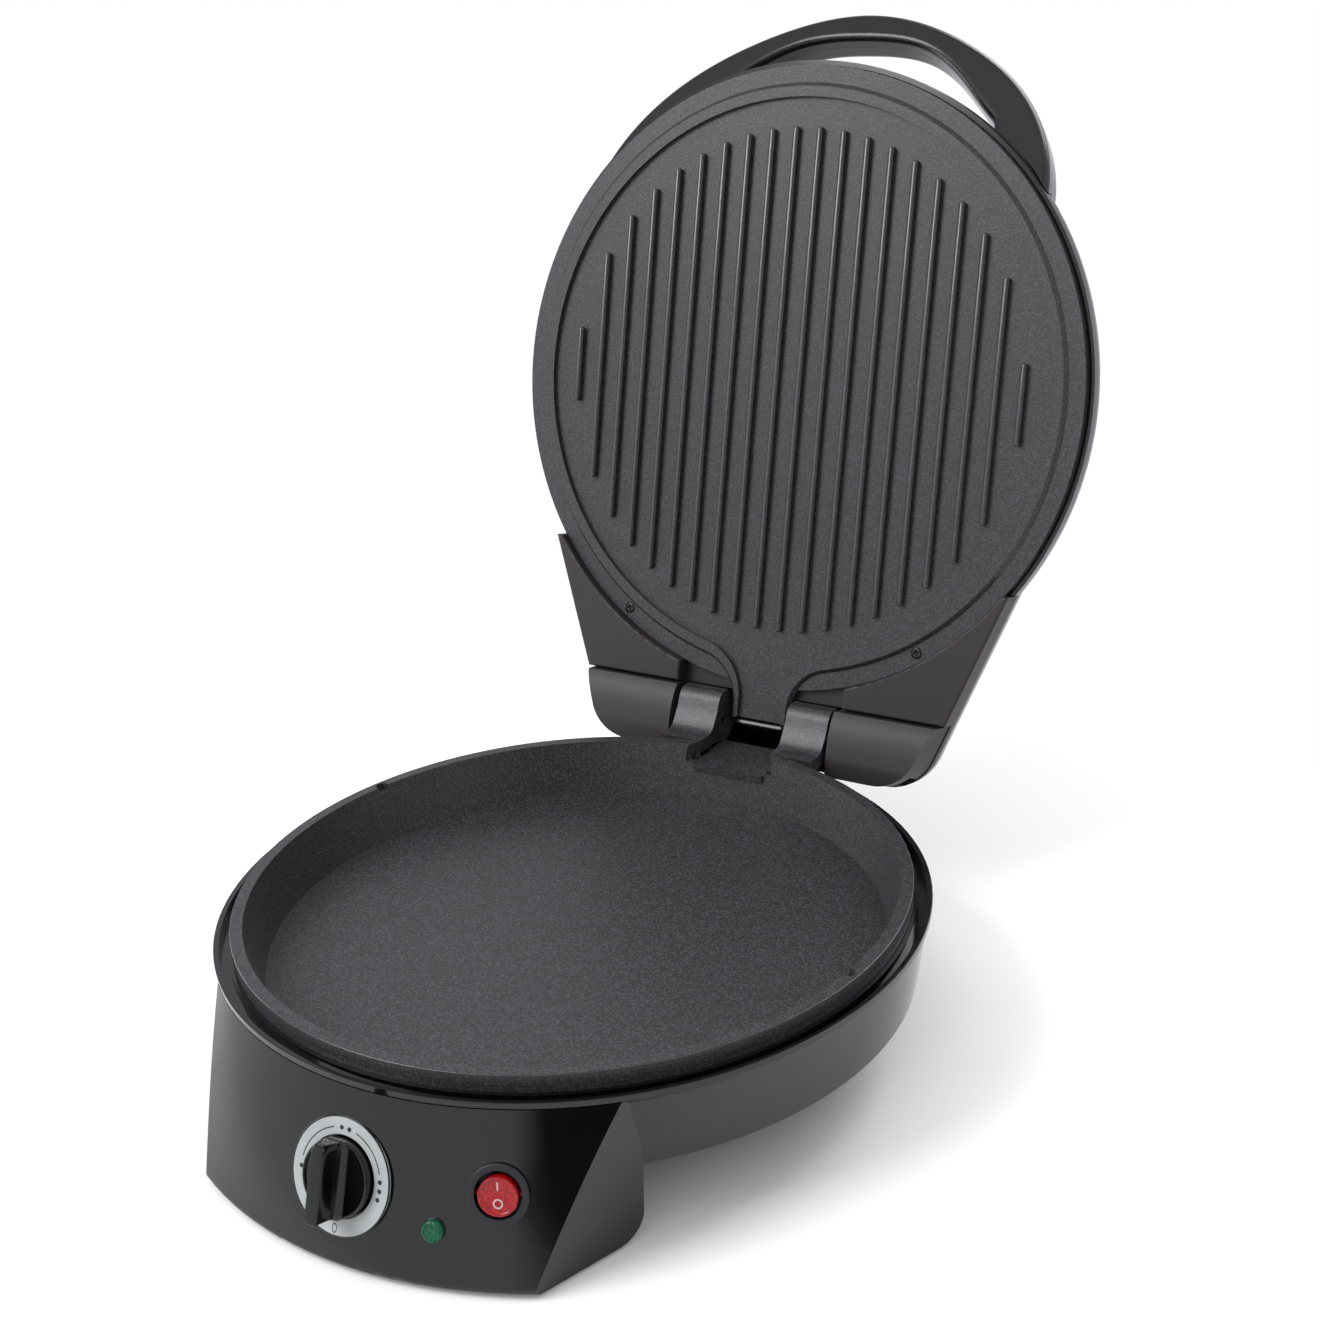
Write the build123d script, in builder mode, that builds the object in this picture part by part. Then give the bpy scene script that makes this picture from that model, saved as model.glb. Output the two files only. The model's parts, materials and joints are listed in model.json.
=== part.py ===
"""Electric pizza maker: a round heated pan in a moulded base, with a hinged, heated grill lid.

Millimetres, +Z up, +Y to the back. The table is z = 0 and the lid stands open, as it is stored
for cleaning. The pan's axis is the centre of most parts, and lies PAN_Y from the origin, so that
the origin is below the middle of the whole object.
"""
from build123d import *
from math import atan, cos, degrees, radians, sin, sqrt, tan
import os

# Driving sizes
PAN_R = 150.0             # inner edge of the pan's rim: a 30 cm pizza
OVER = 20.0               # how far a cutting shape reaches past what it cuts
RIM_HEIGHT = 82.0         # the pan's rim above the table
PAN_Y = -73.4             # the pan's axis, before the middle of the object
OPEN_ANGLE = 105.54       # how far the lid opens
WALL = 2.5                # moulded wall
RUNNING = 0.05            # radial clearance of a pin or shaft in its hole
SEAT = 0.3                # clearance between pieces that are fitted together
SHARP = 0.6               # small broken edge

# Lower pan, cast
PAN_FLOOR_R = 143.0
PAN_DEPTH = 25.6
PAN_WALL = 3.2
PAN_RIM = 5.5             # width of the flat rim
PAN_SKIRT = 14.0          # height of the skirt below the rim
PAN_SKIRT_WALL = 2.3
PAN_FLOOR_FILLET = 5.0
PAN_RIM_FILLET = 1.0
DIMPLE_R = 3.2
DIMPLE_ANGLES = (-7.0, 163.0)
SPOUT_HALF = 20.0         # half width of the drain spout between the lugs
SPOUT_DROP = 8.5          # its floor below the rim
SPOUT_FLARE = 5.0         # how much wider it is where it meets the pan
SPOUT_END = 176.0         # its back end from the pan's axis
SPOUT_ROOT = 6.0          # how far the spout's block reaches in under the rim
SPOUT_MOUTH = (2.5, 3.0, 14.0)  # its corners: past the rim's inner edge, and twice short of it
LUG_WIDTH = 24.0
LUG_RISE = 17.5           # top of a hinge lug above the rim
LUG_FLOOR = 6.5           # underside of the lug where it crosses the base's lip
LUG_BARREL = 10.8         # radius of the lug's round back, about the pin
LUG_ROOT = 1.5            # how far the lug reaches into the rim
LUG_CLEAR = 2.5           # underside of the lug, outside the lip

# Hinge
HINGE_BACK = 179.35       # pin's axis behind the pan's axis
HINGE_RISE = 1.0          # pin's axis above the rim
RIB_DROP = 0.5            # the ribs' tops below the rim with the lid shut
PIN_R = 4.0
PIN_BORE = 2.4            # the wires' way through the pin
PIN_GRIP = 14.0           # how far the pin reaches into the lid's hinge box

# Base moulding
LIP_DROP = 7.5            # top of the base's lip below the rim
LIP_R = 164.0             # outer edge of the lip
LIP_BEVEL = (1.5, 2.0)    # the lip's underside: how far in, and over what height
LIP_WALL = 2.4
LEDGE_DROP = 12.0         # textured ledge between lip and pan
LEDGE_BEAD = 1.8          # thin inner lip beside the pan
DRUM_DROP = 48.0          # underside of the drum below the rim
DRUM_FOOT_R = 156.5       # the drum's radius at its bottom
DRUM_BEVEL = 2.5
SEAT_WIDTH = 4.0          # shoulder that carries the pan
FASCIA_R = 190.8          # radius of the front's curved face at its bottom edge
FASCIA_DROP = 80.0        # that edge below the rim
FASCIA_TILT = 21.0        # lean of the face from the vertical
FASCIA_FILLET = 2.5
SIDE_X = 102.9            # side face of the front housing, at its back bottom corner
SIDE_Y = 119.3
SIDE_TOE = 19.1           # how much the sides draw in to the front, in plan
SIDE_DRAFT = 3.2          # and downwards
LEG_BACK = 117.0          # back face of the front housing from the pan's axis
LEG_TOP = 10.5            # its top below the rim
LEG_HEEL = 12.0           # its round lower corner at the back

# Rear stand
STAND_HALF = 66.0
STAND_FRONT = 98.0
STAND_BACK = 144.0
STAND_TAPER = 4.0
STAND_CORNER = 14.0
BUSH_R = 6.0
BUSH_FLANGE = 9.0
BUSH_BORE = 3.6
BUSH_DROP = 66.0
BUSH_EDGE = 2.5           # the flange's thickness

# Feet and screws
FOOT_R = 8.0
FOOT_HEIGHT = 2.0
FOOT_STEM = 3.5
FRONT_FOOT = (66.0, -158.0)
REAR_FOOT = (46.0, 128.0)
COVER = 2.2               # thickness of the bottom covers
VENT_CIRCLE = 60.0        # circle of the air slots in the drum's cover
VENTS = 8
VENT = (36.0, 4.0)
SCREW_R = 1.6
SCREW_HEAD_R = 3.0
SCREW_HEAD = 1.6
SCREW_LENGTH = 9.0

PAN_BOSS_CIRCLE = 134.0   # circle of the bosses that hold the pan down
PAN_BOSS_ANGLES = (90.0, 205.0, 335.0)
PAN_BOSS_R = 4.5
TERMINALS = (36.0, 18.0, 7.5)
TERMINAL_POLES = 3

# Controls
KNOB_DROP = 45.0          # knob's centre below the rim
DIAL_R = 24.3
DIAL_BORE = 16.9
DIAL_THICK = 1.5
DIAL_SINK = 1.2
KNOB_R = 16.2
KNOB_BASE = 4.0
GRIP_WIDTH = 11.0
GRIP_LENGTH = 35.0
GRIP_HEIGHT = 17.0
GRIP_TAPER = 4.0
GRIP_BREAK = 1.2
DIAL_BREAK = 0.3
SHAFT_R = 3.0
SHAFT_INTO_KNOB = 9.0
THERMOSTAT_SIZE = (30.0, 26.0, 12.0)
THERMOSTAT_NECK_R = 5.0
KNOB_GAP = 0.5
LAMP_ANGLE = 14.1
LAMP_DROP = 57.0
LAMP_R = 4.6
LAMP_LENS = 3.0
LAMP_BODY_R = 3.8
LAMP_LENGTH = 16.0
SWITCH_ANGLE = 22.6
SWITCH_DROP = 41.5
BEZEL_R = 12.6
BEZEL_PROUD = 1.6
SWITCH_HOLE_R = 10.6
ROCKER_R = 9.15
ROCKER_GAP = 0.6
ROCKER_TILT = 7.0
ROCKER_PROUD = 2.2
ROCKER_BREAK = 1.0
ROCKER_DEPTH = 6.0        # the rocker's well in the switch
PIVOT_DROP = 2.5          # the rocker's pivot below the front face
PIVOT_R = 1.2
PIVOT_HALF = 10.3         # half length of the rocker with its two pivot pins
FLUSH = 0.1               # lamp and switch stand this far off the face, on their seals
SWITCH_DEPTH = 15.0

# Heaters
HEATER_TUBE = 3.3
HEATER_LOOP = 98.0
HEATER_GAP = 40.0         # degrees of the loop left open
HEATER_LEG = 11.0
REFLECTOR_R = 118.0
REFLECTOR_SHEET = 0.8
REFLECTOR_RIM = 8.0

# Grill plate, in the lid's own frame: x across, y towards the handle, z out towards the food
PLATE_R = 158.0
PLATE_EDGE = 3.0          # outer flange's face behind the ribs' tops
PLATE_BACK = 7.0          # back of the casting
BEAD_OUT_R = 149.6
BEAD_IN_R = 142.6
BEAD_DROP = 0.9
BASIN_DEPTH = 3.5
BEAD_SLOPE = 1.9
CHANNEL_HALF = 13.0
TONGUE_HALF = 17.0
TONGUE_END = 176.0
THROAT_FILLET = 24.0
RIB_COUNT = 20
RIB_PITCH = 13.318
RIB_WIDTH = 3.0
RIB_CIRCLE = 128.06
RIB_BREAK = 0.8
PLATE_SCREW = (84.5, -127.7)
PLATE_SCREW_HEAD = 2.7

# Lid frame, in the lid's frame
FRAME_TOP = 7.0           # seat of the plate, behind the ribs' tops
FRAME_SEAM = 11.0         # joint with the shell
FRAME_RING_IN = 131.0
WING_FACE = 2.0           # the wings' face before the ribs' tops
TAIL_SIDE = (131.6, -93.0)
TAIL_CORNER = (91.2, -199.0)
TAIL_FILLET = 27.0
WING_INNER = 48.5
WING_END = 161.8
WING_FILLET = 1.2
BOX_IN = 46.5
BOX_OUT = 101.8
BOX_TOP = 162.6
BOX_WALL = 3.0
BOX_FACE = 12.0
BOX_CURVE = ((0.0, 6.0), (4.0, 3.5), (9.0, 1.7), (17.0, 0.4), (25.0, 0.0))  # along it, and down
BOX_CURVE_END = 1.5       # the curved face's fall at the bottom
BOX_POCKET = (9.0, 6.0, 5.0)  # the hollow's extra wall at the side and face, and its corners
PLATE_BOSS = 2.4          # the screw bosses' radius in screw radii

# Lid shell, in the lid's frame
SHELL_R = 161.0
SHELL_RIM = 7.4           # the shell's edge behind the ribs' tops
DOME_DEPTH = 58.0
DOME_SHOULDER = (152.0, 26.0)
DOME_BREAK = (115.0, 50.0)
TAIL_DEPTH = 36.0
TAIL_MERGE = -55.6        # where the tail's sides have run into the dome
TAIL_ROUND = 24.0         # its rounded back edges

# Handle
HANDLE_TILT = 29.46       # lean of the handle's face behind the lid's plane
HANDLE_ROOT = (95.0, 5.0)  # a line of that face: up the lid, and behind it
HANDLE_THICK = 18.0
COVER_THICK = 8.0
HANDLE_EDGE = 3.5
HANDLE_SIDE = ((127.0, -1.0), (98.0, 65.0), (59.0, 94.3))
HANDLE_TOP = 111.2
GRIP_SIDE = ((88.0, 46.0), (78.5, 55.0), (54.0, 79.2), (34.5, 90.7))
GRIP_TOP = 95.4
GRIP_CORNER = 10.0        # where the finger gap's edge turns down the legs


# Frames of reference
pan_top = Plane((0, PAN_Y, RIM_HEIGHT))
pan_side = Plane(pan_top.origin, x_dir=(1, 0, 0), z_dir=(0, -1, 0))
pan_axis = Axis(pan_top.origin, (0, 0, 1))
hinge_point = pan_top.origin + Vector(0, HINGE_BACK, HINGE_RISE)
lid_up = Vector(0, -cos(radians(OPEN_ANGLE)), sin(radians(OPEN_ANGLE)))
lid_out = Vector(0, -sin(radians(OPEN_ANGLE)), -cos(radians(OPEN_ANGLE)))
lid = Plane(
    hinge_point + lid_up * HINGE_BACK + lid_out * (HINGE_RISE + RIB_DROP),
    x_dir=(1, 0, 0),
    z_dir=lid_out,
)
lid_side = Plane(lid.origin, x_dir=(1, 0, 0), z_dir=-lid.y_dir)
lid_axis = Axis(lid.origin, lid_out)
hinge_side = Plane(hinge_point, x_dir=(0, 1, 0), z_dir=(1, 0, 0))
os.makedirs("parts", exist_ok=True)


def fascia_radius(drop, inset=0.0):
    """Radius of the front face at a depth below the rim."""
    tilt = radians(FASCIA_TILT)
    return FASCIA_R - (FASCIA_DROP - drop) * tan(tilt) - inset / cos(tilt)


def fascia_plane(angle, drop, proud=0.0):
    """A plane that touches the front face, its z straight out of the face, its y up the face."""
    turn, tilt = radians(angle), radians(FASCIA_TILT)
    radius = fascia_radius(drop)
    point = pan_top.origin + Vector(radius * sin(turn), -radius * cos(turn), -drop)
    out = Vector(sin(turn) * cos(tilt), -cos(turn) * cos(tilt), sin(tilt))
    return Plane(point + out * proud, x_dir=(cos(turn), sin(turn), 0), z_dir=out)


knob_plane = fascia_plane(0, KNOB_DROP)
lamp_plane = fascia_plane(LAMP_ANGLE, LAMP_DROP)
switch_plane = fascia_plane(SWITCH_ANGLE, SWITCH_DROP)


# Lower pan: revolved wall and skirt, cast lugs, and the spout cut between them
lug_front = (
    (158.0, 0.4),
    (165.8, 1.8),
    (168.3, 4.6),
    (172.1, 9.9),
    (174.7, 14.6),
    (178.8, LUG_RISE),
)
lug_crown = HINGE_BACK + 4.6
lug_middle = SPOUT_HALF + LUG_WIDTH / 2
pan_back = Plane(pan_top.origin, x_dir=(0, 1, 0), z_dir=(1, 0, 0))
pan_slope = (PAN_R - PAN_FLOOR_R) / PAN_DEPTH
pan_outer = PAN_R + PAN_RIM
lug_root = pan_outer - LUG_ROOT
boss_spots = [
    (PAN_BOSS_CIRCLE * cos(radians(a)), PAN_BOSS_CIRCLE * sin(radians(a))) for a in PAN_BOSS_ANGLES
]
with BuildPart() as lower_pan:
    with BuildSketch(pan_side):
        with BuildLine():
            Polyline(
                (0, -PAN_DEPTH),
                (PAN_FLOOR_R, -PAN_DEPTH),
                (PAN_R, 0),
                (pan_outer, 0),
                (pan_outer, -PAN_SKIRT),
                (pan_outer - PAN_SKIRT_WALL, -PAN_SKIRT),
                (pan_outer - PAN_SKIRT_WALL, -PAN_WALL - 1),
                (PAN_R + PAN_WALL - pan_slope * (PAN_WALL + 1), -PAN_WALL - 1),
                (PAN_FLOOR_R + PAN_WALL - pan_slope * PAN_WALL, -PAN_DEPTH - PAN_WALL),
                (0, -PAN_DEPTH - PAN_WALL),
                close=True,
            )
        make_face()
        corners = vertices().sort_by_distance(pan_side.from_local_coords((PAN_R, 0, 0)))
        fillet(corners[0], PAN_RIM_FILLET)
        corners = vertices().sort_by_distance(pan_side.from_local_coords((pan_outer, 0, 0)))
        fillet(corners[0], PAN_RIM_FILLET)
        corners = vertices().sort_by_distance(pan_side.from_local_coords((PAN_FLOOR_R, -PAN_DEPTH, 0)))
        fillet(corners[0], PAN_FLOOR_FILLET)
    revolve(axis=pan_axis)
    for side in (-1, 1):
        with BuildSketch(pan_back.offset(side * lug_middle)):
            with BuildLine():
                Polyline((lug_root, -LUG_FLOOR), (lug_root, 0), lug_front[0])
                Spline(*lug_front)
                Line(lug_front[-1], (lug_crown, LUG_RISE))
                ThreePointArc(
                    (lug_crown, LUG_RISE),
                    (HINGE_BACK + LUG_BARREL, HINGE_RISE),
                    (HINGE_BACK, HINGE_RISE - LUG_BARREL),
                )
                Polyline(
                    (HINGE_BACK, HINGE_RISE - LUG_BARREL),
                    (LIP_R + LUG_CLEAR, -LUG_FLOOR),
                    (lug_root, -LUG_FLOOR),
                )
            make_face()
        extrude(amount=LUG_WIDTH / 2, both=True)
    with BuildSketch(pan_top):
        with BuildLine():
            Polyline(
                (-SPOUT_HALF, PAN_R - SPOUT_ROOT),
                (-SPOUT_HALF, SPOUT_END),
                (SPOUT_HALF, SPOUT_END),
                (SPOUT_HALF, PAN_R - SPOUT_ROOT),
                close=True,
            )
        make_face()
    extrude(amount=-SPOUT_DROP - PAN_WALL)
    with BuildSketch(pan_top.offset(-SPOUT_DROP)):
        past, near, far = SPOUT_MOUTH
        flared = SPOUT_HALF + SPOUT_FLARE
        with BuildLine():
            Line((-SPOUT_HALF, SPOUT_END + OVER), (SPOUT_HALF, SPOUT_END + OVER))
            for side in (-1, 1):
                wall = Line((side * SPOUT_HALF, SPOUT_END + OVER), (side * SPOUT_HALF, pan_outer + 2))
                bend = (side * (SPOUT_HALF + 0.3 * SPOUT_FLARE), PAN_R + past)
                ThreePointArc(wall @ 1, bend, (side * flared, PAN_R - near))
                Line((side * flared, PAN_R - near), (side * flared, PAN_R - far))
            Line((-flared, PAN_R - far), (flared, PAN_R - far))
        make_face()
    extrude(amount=SPOUT_DROP + LUG_RISE, mode=Mode.SUBTRACT)
    for angle in DIMPLE_ANGLES:
        dimple = pan_top.rotated((0, 0, angle))
        with Locations(dimple.from_local_coords((PAN_R + 0.8, 0, 0))):
            Cylinder(DIMPLE_R, 2 * DIMPLE_R, mode=Mode.SUBTRACT)
    with BuildSketch(hinge_side):
        Circle(PIN_R + RUNNING)
    extrude(amount=SPOUT_HALF + LUG_WIDTH + 1, both=True, mode=Mode.SUBTRACT)
    with BuildSketch(pan_top.offset(-DRUM_DROP + COVER)):
        with Locations(*boss_spots):
            Circle(PAN_BOSS_R)
    extrude(amount=DRUM_DROP - COVER - PAN_DEPTH - PAN_WALL / 2)
    with BuildSketch(pan_top.offset(-DRUM_DROP + COVER)):
        with Locations(*boss_spots):
            Circle(SCREW_R + RUNNING)
    extrude(amount=SCREW_LENGTH + 1, mode=Mode.SUBTRACT)
lower_pan.part.label = "lower_pan"
export_step(lower_pan.part, "parts/lower_pan.step")


# Base moulding: the drum and the front housing in one, hollow and open below
def drum(inset):
    """The drum's solid, drawn in by inset on the outside and at the top."""
    top = LEDGE_DROP + inset
    with BuildPart() as body:
        with BuildSketch(pan_side):
            with BuildLine():
                Polyline(
                    (0, -top),
                    (LIP_R - LIP_BEVEL[0] - inset, -top),
                    (DRUM_FOOT_R - inset, -DRUM_DROP + DRUM_BEVEL),
                    (DRUM_FOOT_R - inset - DRUM_BEVEL, -DRUM_DROP),
                    (0, -DRUM_DROP),
                    close=True,
                )
            make_face()
        revolve(axis=pan_axis)
    return body.part


def front_housing(inset):
    """The front housing's solid, drawn in by inset all round but not at the bottom."""
    low = -FASCIA_DROP
    with BuildPart() as body:
        with BuildSketch(pan_side):
            with BuildLine():
                Polyline(
                    (0, low),
                    (fascia_radius(FASCIA_DROP, inset), low),
                    (fascia_radius(LEG_TOP + inset, inset), -LEG_TOP - inset),
                    (0, -LEG_TOP - inset),
                    close=True,
                )
            make_face()
        revolve(axis=pan_axis)
        toe, draft = radians(SIDE_TOE), radians(SIDE_DRAFT)
        for side in (-1, 1):
            out = Vector(side * cos(toe) * cos(draft), -sin(toe) * cos(draft), -sin(draft))
            edge = pan_top.origin + Vector(side * SIDE_X, -SIDE_Y, low)
            split(bisect_by=Plane(edge - out * inset, z_dir=out), keep=Keep.BOTTOM)
        heel = (-LEG_BACK - LEG_HEEL, low + LEG_HEEL)
        with BuildSketch(pan_back):
            with Locations((heel[0] - inset, low)):
                Rectangle(FASCIA_R, FASCIA_DROP, align=(Align.MAX, Align.MIN))
            with Locations((-LEG_BACK - inset, heel[1])):
                Rectangle(FASCIA_R, FASCIA_DROP, align=(Align.MAX, Align.MIN))
            with Locations(heel):
                Circle(LEG_HEEL - inset)
        extrude(amount=FASCIA_R, both=True, mode=Mode.INTERSECT)
        if inset == 0:
            bottom = edges().group_by(Axis.Z)[0].filter_by(GeomType.CIRCLE)
            fillet(bottom, FASCIA_FILLET)
    return body.part


seat_out = pan_outer + SEAT
seat_in = seat_out - SEAT_WIDTH
bead_out = seat_out + LEDGE_BEAD
with BuildPart() as base_housing:
    add(drum(0))
    add(front_housing(0))
    add(drum(WALL), mode=Mode.SUBTRACT)
    add(front_housing(WALL), mode=Mode.SUBTRACT)
    with BuildSketch(pan_side):
        with BuildLine():
            Polyline(
                (seat_out, -LEDGE_DROP),
                (LIP_R - LIP_WALL, -LEDGE_DROP),
                (LIP_R - LIP_WALL, -LIP_DROP),
                (LIP_R, -LIP_DROP),
                (LIP_R, -LEDGE_DROP + LIP_BEVEL[1]),
                (LIP_R - LIP_BEVEL[0], -LEDGE_DROP),
                (LIP_R - LIP_BEVEL[0] - WALL / 2, -LEDGE_DROP - WALL),
                (seat_out, -LEDGE_DROP - WALL),
                close=True,
            )
        make_face()
    revolve(axis=pan_axis)
    with BuildSketch(pan_side):
        with BuildLine():
            Polyline((0, 0), (seat_in, 0), (seat_in, -DRUM_DROP), (0, -DRUM_DROP), close=True)
        make_face()
    revolve(axis=pan_axis, mode=Mode.SUBTRACT)
    with BuildSketch(pan_side):
        with BuildLine():
            Polyline(
                (seat_in, -PAN_SKIRT - WALL),
                (seat_in, -PAN_SKIRT),
                (seat_out, -PAN_SKIRT),
                (seat_out, -LIP_DROP - SHARP),
                (bead_out, -LIP_DROP - SHARP),
                (bead_out, -LEDGE_DROP - WALL),
                (bead_out, -PAN_SKIRT - WALL),
                close=True,
            )
        make_face()
    revolve(axis=pan_axis)
    with BuildSketch(pan_side):
        with BuildLine():
            Polyline(
                (seat_in, -PAN_SKIRT),
                (seat_in, 0),
                (seat_out, 0),
                (seat_out, -PAN_SKIRT),
                close=True,
            )
        make_face()
    revolve(axis=pan_axis, mode=Mode.SUBTRACT)
    notch_half = SPOUT_HALF + LUG_WIDTH + SEAT
    with BuildSketch(pan_top.offset(-LUG_FLOOR - SEAT)):
        with Locations((0, LIP_R)):
            Rectangle(2 * notch_half, 2 * (LIP_R - seat_in))
    extrude(amount=OVER, mode=Mode.SUBTRACT)
    with BuildSketch(pan_top.offset(-SPOUT_DROP - PAN_WALL - SEAT)):
        with Locations((0, LIP_R)):
            Rectangle(2 * (SPOUT_HALF + SEAT), 2 * (LIP_R - seat_in))
    extrude(amount=OVER, mode=Mode.SUBTRACT)
    with BuildSketch(knob_plane.offset(-DIAL_SINK)):
        Circle(DIAL_R + SEAT)
    extrude(amount=-WALL)
    with BuildSketch(knob_plane.offset(-DIAL_SINK)):
        Circle(DIAL_R + SEAT)
    extrude(amount=2 * DIAL_SINK, mode=Mode.SUBTRACT)
    with BuildSketch(knob_plane):
        Circle(THERMOSTAT_NECK_R + SEAT)
    extrude(amount=3 * WALL, both=True, mode=Mode.SUBTRACT)
    with BuildSketch(lamp_plane):
        Circle(LAMP_BODY_R + SEAT)
    extrude(amount=3 * WALL, both=True, mode=Mode.SUBTRACT)
    with BuildSketch(switch_plane):
        Circle(SWITCH_HOLE_R + SEAT)
    extrude(amount=3 * WALL, both=True, mode=Mode.SUBTRACT)
base_housing.part.label = "base_housing"
export_step(base_housing.part, "parts/base_housing.step")


# Bottom covers: a disc under the drum, cut round the front housing, and a plate under the housing
foot_spots = ((-FRONT_FOOT[0], FRONT_FOOT[1]), FRONT_FOOT)
rear_spots = ((-REAR_FOOT[0], REAR_FOOT[1]), REAR_FOOT)
with BuildPart() as drum_cover:
    with BuildSketch(pan_top.offset(-DRUM_DROP)):
        Circle(DRUM_FOOT_R - DRUM_BEVEL - WALL - SEAT)
    extrude(amount=COVER)
    with BuildSketch(pan_top.offset(-DRUM_DROP)):
        with PolarLocations(VENT_CIRCLE, VENTS):
            SlotOverall(*VENT)
    extrude(amount=COVER, mode=Mode.SUBTRACT)
    with BuildSketch(pan_top.offset(-DRUM_DROP)):
        with Locations(*boss_spots):
            Circle(SCREW_R + SEAT)
    extrude(amount=COVER, mode=Mode.SUBTRACT)
    front = pan_top.origin + Vector(0, -LEG_BACK + SEAT, 0)
    split(bisect_by=Plane(front, z_dir=(0, 1, 0)), keep=Keep.TOP)
drum_cover.part.label = "drum_cover"
export_step(drum_cover.part, "parts/drum_cover.step")

with BuildPart() as housing_cover:
    add(front_housing(WALL + SEAT))
    cut = Plane(pan_top.origin + Vector(0, 0, -FASCIA_DROP + COVER), z_dir=(0, 0, 1))
    split(bisect_by=cut, keep=Keep.BOTTOM)
    with BuildSketch(pan_top.offset(-FASCIA_DROP)):
        with Locations(*foot_spots):
            Circle(FOOT_STEM + RUNNING)
    extrude(amount=COVER, mode=Mode.SUBTRACT)
housing_cover.part.label = "housing_cover"
export_step(housing_cover.part, "parts/housing_cover.step")


with BuildPart() as pan_screws:
    with BuildSketch(pan_top.offset(-DRUM_DROP)):
        with Locations(*boss_spots):
            Circle(SCREW_HEAD_R)
    extrude(amount=-SCREW_HEAD)
    with BuildSketch(pan_top.offset(-DRUM_DROP)):
        with Locations(*boss_spots):
            Circle(SCREW_R)
    extrude(amount=COVER + SCREW_LENGTH)
pan_screws.part.label = "pan_screws"
export_step(pan_screws.part, "parts/pan_screws.step")

with BuildPart() as terminal_block:
    with BuildSketch(pan_top.offset(-DRUM_DROP + COVER)):
        with Locations((0, STAND_FRONT)):
            Rectangle(TERMINALS[0], TERMINALS[1])
    extrude(amount=TERMINALS[2])
    with BuildSketch(pan_top.offset(-DRUM_DROP + COVER + TERMINALS[2])):
        with Locations((0, STAND_FRONT)):
            with GridLocations(TERMINALS[0] / (TERMINAL_POLES + 1), TERMINALS[1] / 2, TERMINAL_POLES, 2):
                Circle(SCREW_R)
    extrude(amount=-TERMINALS[2] / 2, mode=Mode.SUBTRACT)
terminal_block.part.label = "terminal_block"
export_step(terminal_block.part, "parts/terminal_block.step")


# Rear stand: a hollow tapered leg under the drum, with the supply lead's bush in its back
with BuildPart() as rear_stand:
    stand_middle = (STAND_FRONT + STAND_BACK) / 2
    with BuildSketch(pan_top.offset(-DRUM_DROP)):
        with Locations((0, stand_middle)):
            RectangleRounded(2 * STAND_HALF, STAND_BACK - STAND_FRONT, STAND_CORNER)
    extrude(amount=-(FASCIA_DROP - DRUM_DROP), taper=STAND_TAPER)
    fillet(faces().sort_by(Axis.Z)[0].edges(), FASCIA_FILLET)
    with BuildSketch(pan_top.offset(-DRUM_DROP)):
        with Locations((0, stand_middle)):
            RectangleRounded(
                2 * (STAND_HALF - WALL), STAND_BACK - STAND_FRONT - 2 * WALL, STAND_CORNER - WALL
            )
    extrude(amount=-(FASCIA_DROP - DRUM_DROP - WALL), taper=STAND_TAPER, mode=Mode.SUBTRACT)
    with BuildSketch(pan_top.offset(-FASCIA_DROP)):
        with Locations(*rear_spots):
            Circle(FOOT_STEM + RUNNING)
    extrude(amount=WALL, mode=Mode.SUBTRACT)
    bush_plane = Plane(
        pan_top.origin + Vector(0, STAND_BACK, -BUSH_DROP), x_dir=(-1, 0, 0), z_dir=(0, 1, 0)
    )
    with BuildSketch(bush_plane.offset(-3 * WALL)):
        Circle(BUSH_R + RUNNING)
    extrude(amount=4 * WALL, mode=Mode.SUBTRACT)
rear_stand.part.label = "rear_stand"
export_step(rear_stand.part, "parts/rear_stand.step")

stand_face = STAND_BACK - (BUSH_DROP - BUSH_FLANGE - DRUM_DROP) * tan(radians(STAND_TAPER))
with BuildPart() as cord_bush:
    bush_face = bush_plane.offset(stand_face - STAND_BACK + SEAT)
    with BuildSketch(bush_face):
        Circle(BUSH_FLANGE)
    extrude(amount=BUSH_EDGE)
    with BuildSketch(bush_face):
        Circle(BUSH_R)
    extrude(amount=-3 * WALL)
    with BuildSketch(bush_face.offset(BUSH_EDGE)):
        Circle(BUSH_BORE)
    extrude(amount=-5 * WALL, mode=Mode.SUBTRACT)
    chamfer(faces().sort_by(Axis.Y)[-1].edges().sort_by(SortBy.RADIUS)[-1], SHARP)
cord_bush.part.label = "cord_bush"
export_step(cord_bush.part, "parts/cord_bush.step")


def feet(spots, stem):
    """Round rubber feet under a bottom, each with a stem pressed up into it."""
    with BuildPart() as pads:
        with BuildSketch(pan_top.offset(-FASCIA_DROP)):
            with Locations(*spots):
                Circle(FOOT_R)
        extrude(amount=-FOOT_HEIGHT)
        with BuildSketch(pan_top.offset(-FASCIA_DROP)):
            with Locations(*spots):
                Circle(FOOT_STEM)
        extrude(amount=stem)
    return pads.part


front_feet = feet(foot_spots, COVER)
front_feet.label = "front_feet"
export_step(front_feet, "parts/front_feet.step")
rear_feet = feet(rear_spots, WALL)
rear_feet.label = "rear_feet"
export_step(rear_feet, "parts/rear_feet.step")


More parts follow.
